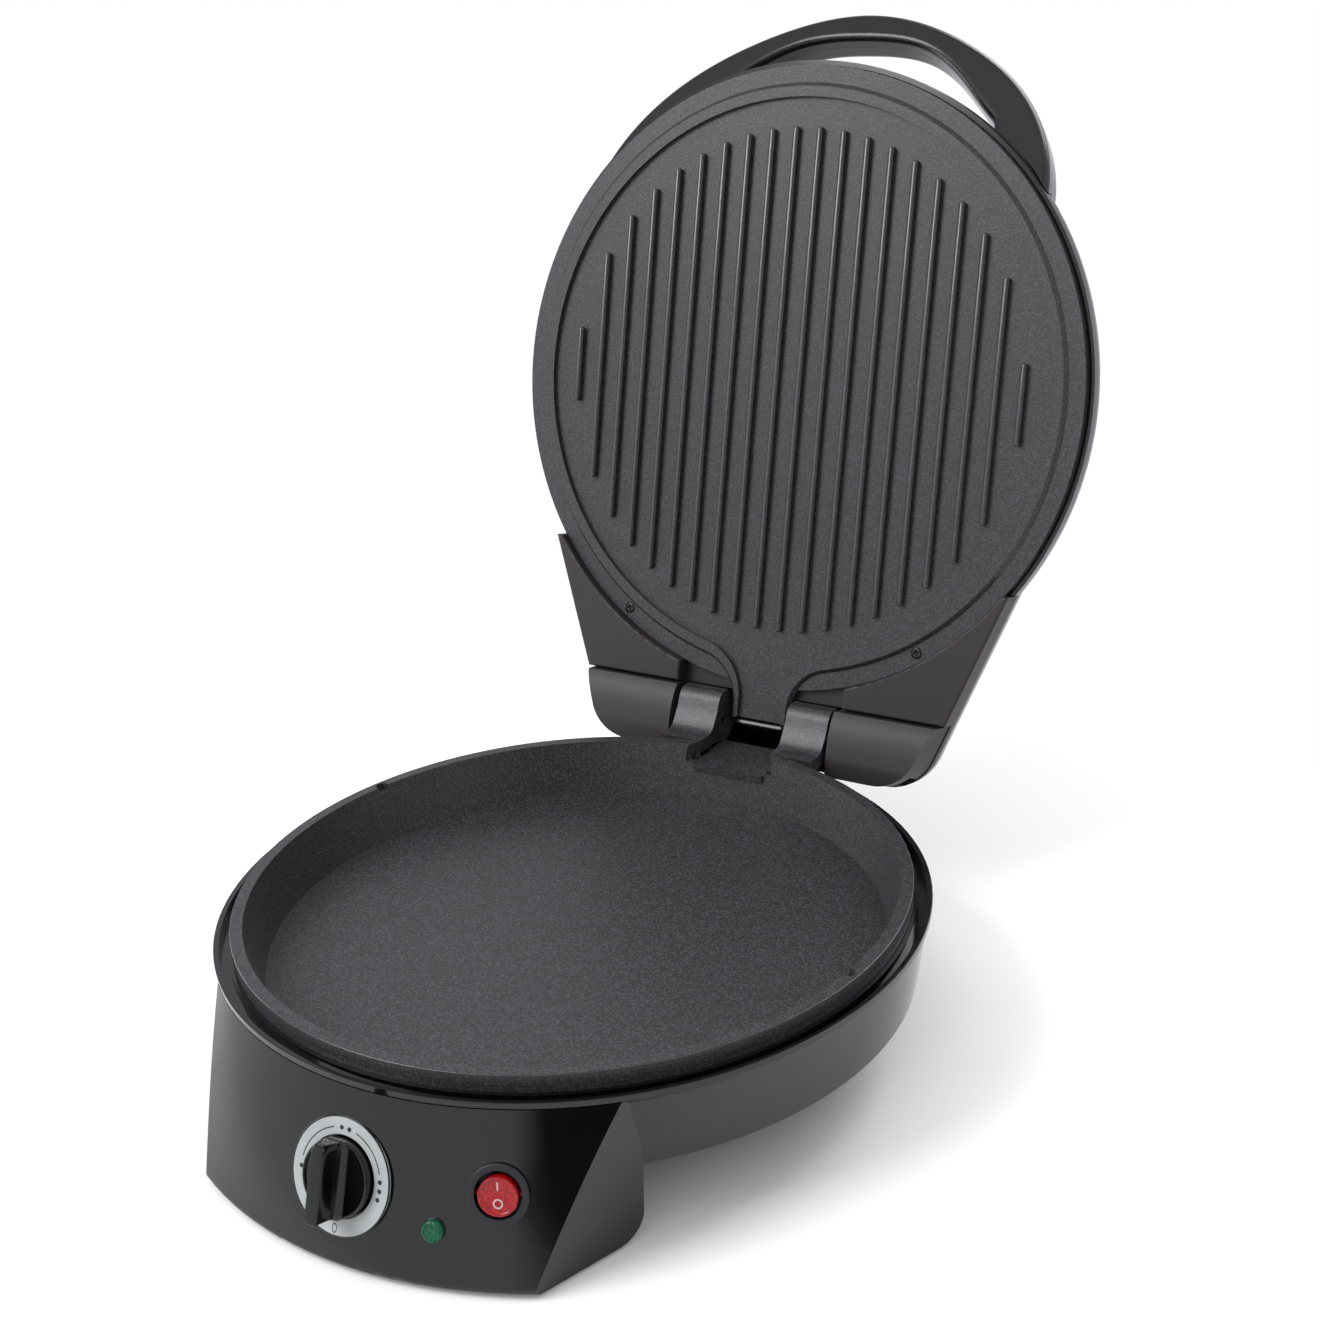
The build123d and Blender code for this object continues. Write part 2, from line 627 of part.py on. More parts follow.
# Controls on the front face
with BuildPart() as dial_ring:
    with BuildSketch(knob_plane.offset(-DIAL_SINK)):
        Circle(DIAL_R)
        Circle(DIAL_BORE, mode=Mode.SUBTRACT)
    extrude(amount=DIAL_THICK)
    chamfer(faces().sort_by(Axis(knob_plane.origin, knob_plane.z_dir))[-1].edges(), DIAL_BREAK)
dial_ring.part.label = "dial_ring"
export_step(dial_ring.part, "parts/dial_ring.step")

with BuildPart() as knob:
    knob_back = knob_plane.offset(KNOB_GAP)
    with BuildSketch(knob_back):
        Circle(KNOB_R)
    extrude(amount=KNOB_BASE)
    with BuildSketch(knob_back.offset(KNOB_BASE)):
        SlotOverall(GRIP_LENGTH, GRIP_WIDTH, rotation=90)
    extrude(amount=GRIP_HEIGHT - KNOB_BASE, taper=GRIP_TAPER)
    crown = faces().sort_by(Axis(knob_plane.origin, knob_plane.z_dir))[-1]
    fillet(crown.edges(), GRIP_BREAK)
    with BuildSketch(knob_back):
        Circle(SHAFT_R)
    extrude(amount=SHAFT_INTO_KNOB, mode=Mode.SUBTRACT)
knob.part.label = "knob"
export_step(knob.part, "parts/knob.step")

with BuildPart() as thermostat_shaft:
    shaft_length = SHAFT_INTO_KNOB + KNOB_GAP + WALL + THERMOSTAT_SIZE[2] / 2
    with BuildSketch(knob_back.offset(SHAFT_INTO_KNOB)):
        Circle(SHAFT_R)
    extrude(amount=-shaft_length)
thermostat_shaft.part.label = "thermostat_shaft"
export_step(thermostat_shaft.part, "parts/thermostat_shaft.step")

with BuildPart() as thermostat:
    body_top = knob_plane.offset(-DIAL_SINK - WALL)
    with BuildSketch(body_top):
        RectangleRounded(THERMOSTAT_SIZE[0], THERMOSTAT_SIZE[1], 2)
    extrude(amount=-THERMOSTAT_SIZE[2])
    with BuildSketch(body_top):
        Circle(THERMOSTAT_NECK_R)
    extrude(amount=WALL + DIAL_SINK / 2)
    with BuildSketch(knob_plane):
        Circle(SHAFT_R + RUNNING)
    extrude(amount=-shaft_length, mode=Mode.SUBTRACT)
thermostat.part.label = "thermostat"
export_step(thermostat.part, "parts/thermostat.step")

with BuildPart() as lamp_lens:
    with BuildSketch(lamp_plane.offset(FLUSH)):
        Circle(LAMP_R)
    extrude(amount=LAMP_LENS)
    fillet(faces().sort_by(Axis(lamp_plane.origin, lamp_plane.z_dir))[-1].edges(), LAMP_LENS * 0.8)
lamp_lens.part.label = "lamp_lens"
export_step(lamp_lens.part, "parts/lamp_lens.step")

with BuildPart() as lamp_holder:
    with BuildSketch(lamp_plane.offset(FLUSH)):
        Circle(LAMP_BODY_R)
    extrude(amount=-LAMP_LENGTH)
lamp_holder.part.label = "lamp_holder"
export_step(lamp_holder.part, "parts/lamp_holder.step")

rocker_pivot = switch_plane.offset(-PIVOT_DROP).rotated((ROCKER_TILT, 0, 0))
pivot_side = Plane(rocker_pivot.origin, x_dir=switch_plane.y_dir, z_dir=switch_plane.x_dir)
with BuildPart() as switch_body:
    with BuildSketch(switch_plane.offset(FLUSH)):
        Circle(BEZEL_R)
    extrude(amount=BEZEL_PROUD)
    fillet(faces().sort_by(Axis(switch_plane.origin, switch_plane.z_dir))[-1].edges(), SHARP)
    with BuildSketch(switch_plane.offset(FLUSH)):
        Circle(SWITCH_HOLE_R)
    extrude(amount=-SWITCH_DEPTH)
    with BuildSketch(switch_plane.offset(BEZEL_PROUD + 1)):
        Circle(ROCKER_R + ROCKER_GAP)
    extrude(amount=-BEZEL_PROUD - ROCKER_DEPTH, mode=Mode.SUBTRACT)
    with BuildSketch(pivot_side):
        Circle(PIVOT_R + RUNNING)
    extrude(amount=BEZEL_R, both=True, mode=Mode.SUBTRACT)
switch_body.part.label = "switch_body"
export_step(switch_body.part, "parts/switch_body.step")

with BuildPart() as rocker:
    with BuildSketch(rocker_pivot.offset(-1)):
        Circle(ROCKER_R)
    extrude(amount=ROCKER_PROUD + PIVOT_DROP + 1)
    rocker_top = Axis(switch_plane.origin, switch_plane.z_dir)
    fillet(faces().sort_by(rocker_top)[-1].edges(), ROCKER_BREAK)
    with BuildSketch(pivot_side):
        Circle(PIVOT_R)
    extrude(amount=PIVOT_HALF, both=True)
rocker.part.label = "rocker"
export_step(rocker.part, "parts/rocker.step")


# Heating elements and their reflectors
def heater(plane, side):
    """A tubular element against a casting's back: an open loop, with both ends turned away."""
    half = HEATER_GAP / 2
    start = plane.offset(side * (HEATER_TUBE + SEAT))
    with BuildPart() as element:
        with BuildLine(start) as path:
            CenterArc((0, 0), HEATER_LOOP, -90 + half, 360 - HEATER_GAP)
        with BuildSketch(Plane(path.line @ 0, z_dir=path.line % 0)):
            Circle(HEATER_TUBE)
        sweep(path=path.line)
        for turn in (-1, 1):
            angle = radians(-90 + turn * half)
            spot = (HEATER_LOOP * cos(angle), HEATER_LOOP * sin(angle))
            with BuildSketch(start.offset(-side * HEATER_TUBE)):
                with Locations(spot):
                    Circle(HEATER_TUBE)
            extrude(amount=side * (HEATER_LEG + HEATER_TUBE))
    return element.part


def reflector(plane, side, face):
    """A sheet dish behind an element, its rim turned up to the casting."""
    depth = 2 * HEATER_TUBE + 2 * SEAT
    with BuildPart() as dish:
        with BuildSketch(plane):
            with BuildLine():
                Polyline(
                    (0, side * depth),
                    (REFLECTOR_R, side * depth),
                    (REFLECTOR_R, side * SEAT),
                    (REFLECTOR_R + REFLECTOR_RIM, side * SEAT),
                    (REFLECTOR_R + REFLECTOR_RIM, side * (SEAT + REFLECTOR_SHEET)),
                    (REFLECTOR_R + REFLECTOR_SHEET, side * (SEAT + REFLECTOR_SHEET)),
                    (REFLECTOR_R + REFLECTOR_SHEET, side * (depth + REFLECTOR_SHEET)),
                    (0, side * (depth + REFLECTOR_SHEET)),
                    close=True,
                )
            make_face()
        revolve(axis=Axis(plane.origin, plane.y_dir))
        with BuildSketch(face):
            for turn in (-1, 1):
                angle = radians(-90 + turn * HEATER_GAP / 2)
                with Locations((HEATER_LOOP * cos(angle), HEATER_LOOP * sin(angle))):
                    Circle(HEATER_TUBE + SEAT)
        extrude(amount=side * (HEATER_LEG + HEATER_TUBE), mode=Mode.SUBTRACT)
    return dish.part


pan_under = pan_top.offset(-PAN_DEPTH - PAN_WALL)
under_side = Plane(pan_under.origin, x_dir=(1, 0, 0), z_dir=(0, -1, 0))
lower_heater = heater(pan_under, -1)
lower_heater.label = "lower_heater"
export_step(lower_heater, "parts/lower_heater.step")
lower_reflector = reflector(under_side, -1, pan_under)
lower_reflector.label = "lower_reflector"
export_step(lower_reflector, "parts/lower_reflector.step")


# Grill plate: cast disc with a raised bead, a drain channel on a tongue, and the ribs
def throat(radius, half, fillet_radius):
    """A disc with a straight neck of the given half width, its two inner corners rounded."""
    reach = radius + fillet_radius
    centre_x = half + fillet_radius
    centre_y = -sqrt(reach**2 - centre_x**2)
    touch = (radius / reach * centre_x, radius / reach * centre_y)
    with BuildSketch(lid) as outline:
        Circle(radius)
        with BuildLine():
            Line((-half, -TONGUE_END), (half, -TONGUE_END))
            for side in (-1, 1):
                Line((side * half, -TONGUE_END), (side * half, centre_y))
                RadiusArc((side * half, centre_y), (side * touch[0], touch[1]), side * fillet_radius)
                Line((side * touch[0], touch[1]), (0, 0))
        make_face()
    return outline.sketch


with BuildPart() as grill_plate:
    with BuildSketch(lid.offset(-PLATE_BACK)):
        Circle(PLATE_R)
    extrude(amount=PLATE_BACK - PLATE_EDGE)
    extrude(throat(BEAD_OUT_R, TONGUE_HALF, THROAT_FILLET), amount=-PLATE_BACK)
    with BuildSketch(lid.offset(-BEAD_DROP)):
        Circle(PLATE_R + 1)
        Rectangle(4 * TONGUE_HALF, 2 * TONGUE_END + 2)
    extrude(amount=PLATE_BACK, mode=Mode.SUBTRACT)
    rim = faces().sort_by(lid_axis)[-1]
    chamfer(rim.edges().filter_by(lambda e: e.length > 60), BEAD_SLOPE)
    basin = throat(BEAD_IN_R, CHANNEL_HALF, THROAT_FILLET + TONGUE_HALF - CHANNEL_HALF)
    extrude(basin, amount=-BASIN_DEPTH, mode=Mode.SUBTRACT)
    half_lengths = [
        sqrt(RIB_CIRCLE**2 - ((i - (RIB_COUNT - 1) / 2) * RIB_PITCH) ** 2) for i in range(RIB_COUNT)
    ]
    with BuildSketch(lid.offset(-BASIN_DEPTH)):
        for i, half in enumerate(half_lengths):
            with Locations(((i - (RIB_COUNT - 1) / 2) * RIB_PITCH, 0)):
                SlotOverall(2 * half, RIB_WIDTH, rotation=90)
    extrude(amount=BASIN_DEPTH)
    tops = faces().group_by(lid_axis)[-1]
    chamfer(tops.edges(), RIB_BREAK)
    with Locations(lid):
        for side in (-1, 1):
            with Locations((side * PLATE_SCREW[0], PLATE_SCREW[1], -PLATE_EDGE)):
                CounterBoreHole(SCREW_R + SEAT, PLATE_SCREW_HEAD + SEAT, SCREW_HEAD, PLATE_BACK)
grill_plate.part.label = "grill_plate"
export_step(grill_plate.part, "parts/grill_plate.step")

plate_back = lid.offset(-PLATE_BACK)
upper_heater = heater(plate_back, -1)
upper_heater.label = "upper_heater"
export_step(upper_heater, "parts/upper_heater.step")
plate_back_side = Plane(plate_back.origin, x_dir=(1, 0, 0), z_dir=-lid.y_dir)
upper_reflector = reflector(plate_back_side, -1, plate_back)
upper_reflector.label = "upper_reflector"
export_step(upper_reflector, "parts/upper_reflector.step")


# Lid frame: a ring behind the grill plate, with two wings and two hinge boxes on its tail
side_slope = (TAIL_SIDE[0] - TAIL_CORNER[0]) / (TAIL_SIDE[1] - TAIL_CORNER[1])


def tail(height, inset, top=TAIL_SIDE[1]):
    """The tail's outline on a plane across the lid up to a top line, drawn in by inset."""
    top_x = TAIL_SIDE[0] + side_slope * (top - TAIL_SIDE[1])
    with BuildSketch(lid.offset(height)) as outline:
        with BuildLine():
            Polyline(
                (-top_x, top),
                (-TAIL_CORNER[0], TAIL_CORNER[1]),
                (TAIL_CORNER[0], TAIL_CORNER[1]),
                (top_x, top),
                close=True,
            )
        make_face()
        fillet(vertices().group_by(Axis.Y)[0], TAIL_FILLET)
        if inset > 0:
            offset(amount=-inset, kind=Kind.INTERSECTION)
    return outline.sketch


box_side_x = TAIL_SIDE[0] - side_slope * (TAIL_SIDE[1] + BOX_TOP)
box_taper = degrees(atan((box_side_x - BOX_OUT) / (FRAME_SEAM + BOX_FACE)))
pin_block = BOX_IN + PIN_GRIP + WALL
lid_across = Plane(lid.origin, x_dir=lid_up, z_dir=(1, 0, 0))
with BuildPart() as frame_ring:
    with BuildSketch(lid.offset(-FRAME_SEAM)):
        Circle(SHELL_R - WALL - SEAT)
        Circle(FRAME_RING_IN, mode=Mode.SUBTRACT)
    extrude(amount=FRAME_SEAM - FRAME_TOP)
    with BuildSketch(lid.offset(-FRAME_SEAM)):
        add(lid.to_local_coords(tail(0, 0)))
        Circle(FRAME_RING_IN, mode=Mode.SUBTRACT)
        with Locations((0, -BOX_TOP)):
            Rectangle(2 * BOX_IN, SHELL_R, align=(Align.CENTER, Align.MAX), mode=Mode.SUBTRACT)
    extrude(amount=FRAME_SEAM - FRAME_TOP)
    with BuildSketch(lid.offset(-FRAME_SEAM)):
        add(lid.to_local_coords(tail(0, 0)))
        Circle(PLATE_R + SEAT, mode=Mode.SUBTRACT)
        with Locations((0, -WING_END)):
            Rectangle(2 * SHELL_R, SHELL_R, align=(Align.CENTER, Align.MAX), mode=Mode.SUBTRACT)
            Rectangle(2 * WING_INNER, SHELL_R, mode=Mode.SUBTRACT)
    extrude(amount=FRAME_SEAM + WING_FACE)
    fillet(faces().sort_by(lid_axis)[-2:].edges(), WING_FILLET)
    with BuildSketch(lid.offset(-FRAME_SEAM)):
        add(lid.to_local_coords(tail(0, WALL)))
        Circle(PLATE_R + SEAT + WALL, mode=Mode.SUBTRACT)
        with Locations((0, -WING_END + WALL)):
            Rectangle(2 * SHELL_R, SHELL_R, align=(Align.CENTER, Align.MAX), mode=Mode.SUBTRACT)
            Rectangle(2 * (WING_INNER + WALL), SHELL_R, mode=Mode.SUBTRACT)
    extrude(amount=FRAME_SEAM + WING_FACE - WALL, mode=Mode.SUBTRACT)


def hinge_box(side):
    """One hinge box: a leaning outer side, a round lower corner, a curved face, hollow behind."""
    with BuildPart() as box:
        extrude(tail(-FRAME_SEAM, 0), amount=FRAME_SEAM + BOX_FACE, taper=box_taper)
        inner_wall = lid.from_local_coords((side * BOX_IN, 0, 0))
        split(bisect_by=Plane(inner_wall, z_dir=(side, 0, 0)), keep=Keep.TOP)
        top_wall = lid.from_local_coords((0, -BOX_TOP, 0))
        split(bisect_by=Plane(top_wall, z_dir=lid_up), keep=Keep.BOTTOM)
        with BuildSketch(lid_across):
            with BuildLine():
                curve = [(-BOX_TOP - along, BOX_FACE - down) for along, down in BOX_CURVE]
                face = Spline(*curve, (TAIL_CORNER[1], BOX_FACE - BOX_CURVE_END))
                high = BOX_FACE + OVER
                Polyline(face @ 0, (-BOX_TOP, high), (TAIL_CORNER[1], high), face @ 1)
            make_face()
        extrude(amount=SHELL_R, both=True, mode=Mode.SUBTRACT)
        with BuildSketch(lid.offset(-FRAME_SEAM)):
            pocket_out = BOX_OUT - BOX_WALL - BOX_POCKET[0]
            with Locations((side * (pin_block + pocket_out) / 2, (TAIL_CORNER[1] - BOX_TOP) / 2)):
                pocket_high = -TAIL_CORNER[1] - BOX_TOP - 2 * BOX_WALL
                RectangleRounded(pocket_out - pin_block, pocket_high, BOX_POCKET[2])
        extrude(amount=FRAME_SEAM + BOX_FACE - BOX_POCKET[1] - BOX_WALL, mode=Mode.SUBTRACT)
    return box.part


with BuildPart() as lid_frame:
    add(frame_ring.part)
    add(hinge_box(-1))
    add(hinge_box(1))
    with Locations(lid):
        for side in (-1, 1):
            with Locations((side * PLATE_SCREW[0], PLATE_SCREW[1], -FRAME_TOP)):
                Cylinder(
                    PLATE_BOSS * SCREW_R, SCREW_LENGTH, align=(Align.CENTER, Align.CENTER, Align.MAX)
                )
                Hole(SCREW_R + RUNNING, SCREW_LENGTH + 1)
    with BuildSketch(hinge_side):
        Circle(PIN_R + RUNNING)
    extrude(amount=BOX_IN + PIN_GRIP, both=True, mode=Mode.SUBTRACT)
lid_frame.part.label = "lid_frame"
export_step(lid_frame.part, "parts/lid_frame.step")

with BuildPart() as hinge_pins:
    for side in (-1, 1):
        with BuildSketch(hinge_side.offset(side * (SPOUT_HALF + WALL))):
            Circle(PIN_R)
            Circle(PIN_BORE, mode=Mode.SUBTRACT)
        extrude(amount=side * (BOX_IN + PIN_GRIP - SPOUT_HALF - WALL - SEAT))
hinge_pins.part.label = "hinge_pins"
export_step(hinge_pins.part, "parts/hinge_pins.step")

with BuildPart() as plate_screws:
    with Locations(lid):
        for side in (-1, 1):
            with Locations((side * PLATE_SCREW[0], PLATE_SCREW[1], -PLATE_EDGE)):
                Cylinder(
                    PLATE_SCREW_HEAD, SCREW_HEAD, align=(Align.CENTER, Align.CENTER, Align.MAX)
                )
            with Locations((side * PLATE_SCREW[0], PLATE_SCREW[1], -PLATE_EDGE - SCREW_HEAD)):
                Cylinder(SCREW_R, SCREW_LENGTH, align=(Align.CENTER, Align.CENTER, Align.MAX))
plate_screws.part.label = "plate_screws"
export_step(plate_screws.part, "parts/plate_screws.step")


# Lid shell: the dome, the squared tail and the rear half of the arched handle
def dome(inset, rim):
    """The dome's solid, drawn in by inset, its edge at the given height."""
    with BuildPart() as body:
        with BuildSketch(lid_side):
            with BuildLine():
                skin = Spline(
                    (SHELL_R - inset, -FRAME_SEAM - 1),
                    (DOME_SHOULDER[0] - inset, -DOME_SHOULDER[1]),
                    (DOME_BREAK[0] - inset * 0.7, -DOME_BREAK[1] + inset * 0.8),
                    (0, -DOME_DEPTH + inset),
                    tangents=((0, -1), (-1, 0)),
                )
                Polyline(skin @ 0, (SHELL_R - inset, rim), (0, rim), skin @ 1)
            make_face()
        revolve(axis=lid_axis)
    return body.part


def tail_block(height, inset):
    """The tail's solid behind a height, round at the back, drawn in by inset."""
    with BuildPart() as block:
        extrude(tail(height, inset, TAIL_MERGE), amount=inset - TAIL_DEPTH - height)
        back = faces().sort_by(lid_axis)[0]
        fillet(back.edges().sort_by(Axis(lid.origin, lid.y_dir))[:-1], TAIL_ROUND - inset)
    return block.part


handle_tilt = radians(HANDLE_TILT)
handle_face = Plane(
    lid.from_local_coords((0, HANDLE_ROOT[0], -HANDLE_ROOT[1])),
    x_dir=(1, 0, 0),
    z_dir=lid_up * sin(handle_tilt) + lid_out * cos(handle_tilt),
)


def mirrored_line(points, top):
    """Points from one end over the top to the other, from those of one side."""
    return [(-x, y) for x, y in points] + [(0, top)] + [(x, y) for x, y in reversed(points)]


with BuildPart() as handle:
    with BuildSketch(handle_face):
        with BuildLine():
            outer = Spline(*mirrored_line(HANDLE_SIDE, HANDLE_TOP))
            Line(outer @ 0, outer @ 1)
        make_face()
        with BuildLine():
            inner = Spline(*mirrored_line(GRIP_SIDE, GRIP_TOP))
            foot = HANDLE_SIDE[0][1] - 1
            Polyline(inner @ 0, (-GRIP_SIDE[0][0], foot), (GRIP_SIDE[0][0], foot), inner @ 1)
        make_face(mode=Mode.SUBTRACT)
        for side in (-1, 1):
            corner = handle_face.from_local_coords((side * GRIP_SIDE[0][0], GRIP_SIDE[0][1], 0))
            fillet(vertices().sort_by_distance(corner)[0], GRIP_CORNER)
    extrude(amount=-HANDLE_THICK)
    flats = faces().filter_by(GeomType.PLANE).group_by(Axis(handle_face.origin, handle_face.z_dir))
    long_edges = (flats[0].edges() + flats[-1].edges()).filter_by(
        lambda e: handle_face.to_local_coords(e.center()).Y > HANDLE_EDGE
    )
    fillet(long_edges, HANDLE_EDGE)

outer_dome = dome(0, -SHELL_RIM)
with BuildPart() as lid_shell:
    add(handle.part)
    split(bisect_by=handle_face.offset(-COVER_THICK - SEAT / 3), keep=Keep.BOTTOM)
    add(outer_dome)
    add(tail_block(-FRAME_SEAM - SEAT / 3, 0))
    add(dome(WALL, 0), mode=Mode.SUBTRACT)
    add(tail_block(0, WALL), mode=Mode.SUBTRACT)
    extrude(tail(-FRAME_SEAM, -SEAT), amount=FRAME_SEAM, mode=Mode.SUBTRACT)
lid_shell.part.label = "lid_shell"
export_step(lid_shell.part, "parts/lid_shell.step")

with BuildPart() as handle_cover:
    add(handle.part)
    split(bisect_by=handle_face.offset(-COVER_THICK), keep=Keep.TOP)
    add(dome(-SEAT, OVER), mode=Mode.SUBTRACT)
handle_cover.part.label = "handle_cover"
export_step(handle_cover.part, "parts/handle_cover.step")
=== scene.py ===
"""Electric pizza maker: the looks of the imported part, in the light of a plain white studio."""
import json
import logging
import math
from collections.abc import Callable
from dataclasses import dataclass, field
from enum import Enum

import bmesh
import bpy
from bpy.types import Material, Node, NodeSocket, NodeTree, Object
from mathutils import Matrix, Vector


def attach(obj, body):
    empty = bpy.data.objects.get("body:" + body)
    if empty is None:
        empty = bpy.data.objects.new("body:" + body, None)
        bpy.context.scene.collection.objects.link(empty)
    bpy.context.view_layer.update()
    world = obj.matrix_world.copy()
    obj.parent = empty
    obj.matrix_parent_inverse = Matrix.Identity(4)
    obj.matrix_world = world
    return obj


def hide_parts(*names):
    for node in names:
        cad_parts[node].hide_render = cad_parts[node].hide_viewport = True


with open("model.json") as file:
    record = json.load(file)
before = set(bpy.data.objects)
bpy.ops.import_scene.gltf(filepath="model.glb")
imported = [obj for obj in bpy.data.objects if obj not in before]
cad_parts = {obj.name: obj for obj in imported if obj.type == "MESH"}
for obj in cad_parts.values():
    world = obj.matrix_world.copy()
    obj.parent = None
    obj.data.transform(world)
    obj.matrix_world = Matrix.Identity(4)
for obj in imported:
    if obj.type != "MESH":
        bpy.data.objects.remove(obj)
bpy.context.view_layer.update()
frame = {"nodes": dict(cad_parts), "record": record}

LOG = logging.getLogger("pizza_maker")
MM = 0.001


class Body(Enum):
    """The bodies that move by themselves."""

    BASE = "base"
    LID = "lid"
    KNOB = "knob"
    ROCKER = "rocker"


def joint(name: str) -> dict:
    """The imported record's joint of that name."""
    return next(j for j in frame["record"]["behaviour"]["joints"] if j["name"] == name)


HINGE = Vector(joint("lid_hinge")["pos_m"])
OPEN_ANGLE = math.radians(joint("lid_hinge")["range_deg"][1])
# The hinge's axis lies this far behind and above the middle of the pan's rim
HINGE_BACK = 179.35 * MM
HINGE_RISE = 1.0 * MM
# With the lid shut, the tops of the ribs lie this far below the rim
RIB_DROP = 0.5 * MM
PAN_CENTRE = HINGE - Vector((0, HINGE_BACK, HINGE_RISE))
LID_UP = Vector((0, -math.cos(OPEN_ANGLE), math.sin(OPEN_ANGLE)))
LID_OUT = Vector((0, -math.sin(OPEN_ANGLE), -math.cos(OPEN_ANGLE)))
LID_CENTRE = HINGE + LID_UP * HINGE_BACK + LID_OUT * (HINGE_RISE + RIB_DROP)


def placing(centre: Vector, across: Vector, up: Vector, out: Vector) -> Matrix:
    """The matrix that places a piece drawn at the origin.

    Args:
        centre: where the piece's origin goes.
        across: where its x axis points.
        up: where its y axis points.
        out: where its z axis points.

    Returns:
        The 4 by 4 matrix.
    """
    turn = Matrix((across, up, out)).transposed().to_4x4()
    return Matrix.Translation(centre) @ turn


LID = placing(LID_CENTRE, Vector((1, 0, 0)), LID_UP, LID_OUT)
PAN = Matrix.Translation(PAN_CENTRE)


@dataclass(frozen=True)
class Face:
    """The leaning front face: a cone about the pan's axis.

    Attributes:
        bottom_radius: the cone's radius at the foot of the face.
        bottom_drop: the foot of the face below the pan's rim.
        tilt: how far the face leans back.
    """

    bottom_radius: float = 190.8 * MM
    bottom_drop: float = 80.0 * MM
    tilt: float = math.radians(21.0)

    def plane(self, angle_deg: float, drop: float) -> Matrix:
        """A plane that touches the face, its z straight out and its y up the face.

        Args:
            angle_deg: its place round the front, from the middle to the right.
            drop: its place below the pan's rim, in metres.

        Returns:
            The matrix that places a piece there.
        """
        turn = math.radians(angle_deg)
        radius = self.bottom_radius - (self.bottom_drop - drop) * math.tan(self.tilt)
        centre = PAN_CENTRE + Vector((radius * math.sin(turn), -radius * math.cos(turn), -drop))
        level = math.cos(self.tilt)
        out = Vector((math.sin(turn) * level, -math.cos(turn) * level, math.sin(self.tilt)))
        across = Vector((math.cos(turn), math.sin(turn), 0))
        return placing(centre, across, out.cross(across), out)


FACE = Face()

WHITE = (1.0, 1.0, 1.0, 1.0)
# Sockets of a Mix node for colours, by number, as its other sockets share their names
MIX_FIRST = 6
MIX_SECOND = 7
MIX_RESULT = 2
# Layers of ever finer noise in the colour and in the relief
COLOUR_DETAIL = 3.0
RELIEF_DETAIL = 2.0
# Flecks: the noise value at which they start, how far their amount lowers it, their soft edge
FLECK = (0.62, 0.2, 0.12)
# Faint patches: size in mm, the noise value at which they start, their soft edge and brightness
PATCH = (50 / 3, 0.35, 0.35, 0.86)


def linear(hex_colour: str) -> tuple[float, float, float, float]:
    """An sRGB hex colour as linear light.

    Args:
        hex_colour: such as "#1a1a1a".

    Returns:
        Red, green, blue and an alpha of 1.
    """
    parts = [int(hex_colour[i : i + 2], 16) / 255 for i in (1, 3, 5)]
    light = [c / 12.92 if c <= 0.04045 else ((c + 0.055) / 1.055) ** 2.4 for c in parts]
    return (*light, 1.0)


def add_node(tree: NodeTree, kind: str, feeds: dict | None = None, **settings: str) -> Node:
    """Adds a node with its settings and links.

    Args:
        tree: the node tree.
        kind: the shader node's type, such as "Bump".
        feeds: input name or number to the socket that feeds it, or to its plain value.
        settings: attributes of the node, such as its operation.

    Returns:
        The node.
    """
    node = tree.nodes.new("ShaderNode" + kind)
    for name, value in settings.items():
        setattr(node, name, value)
    for name, feed in (feeds or {}).items():
        if isinstance(feed, NodeSocket):
            tree.links.new(feed, node.inputs[name])
        else:
            node.inputs[name].default_value = feed
    return node


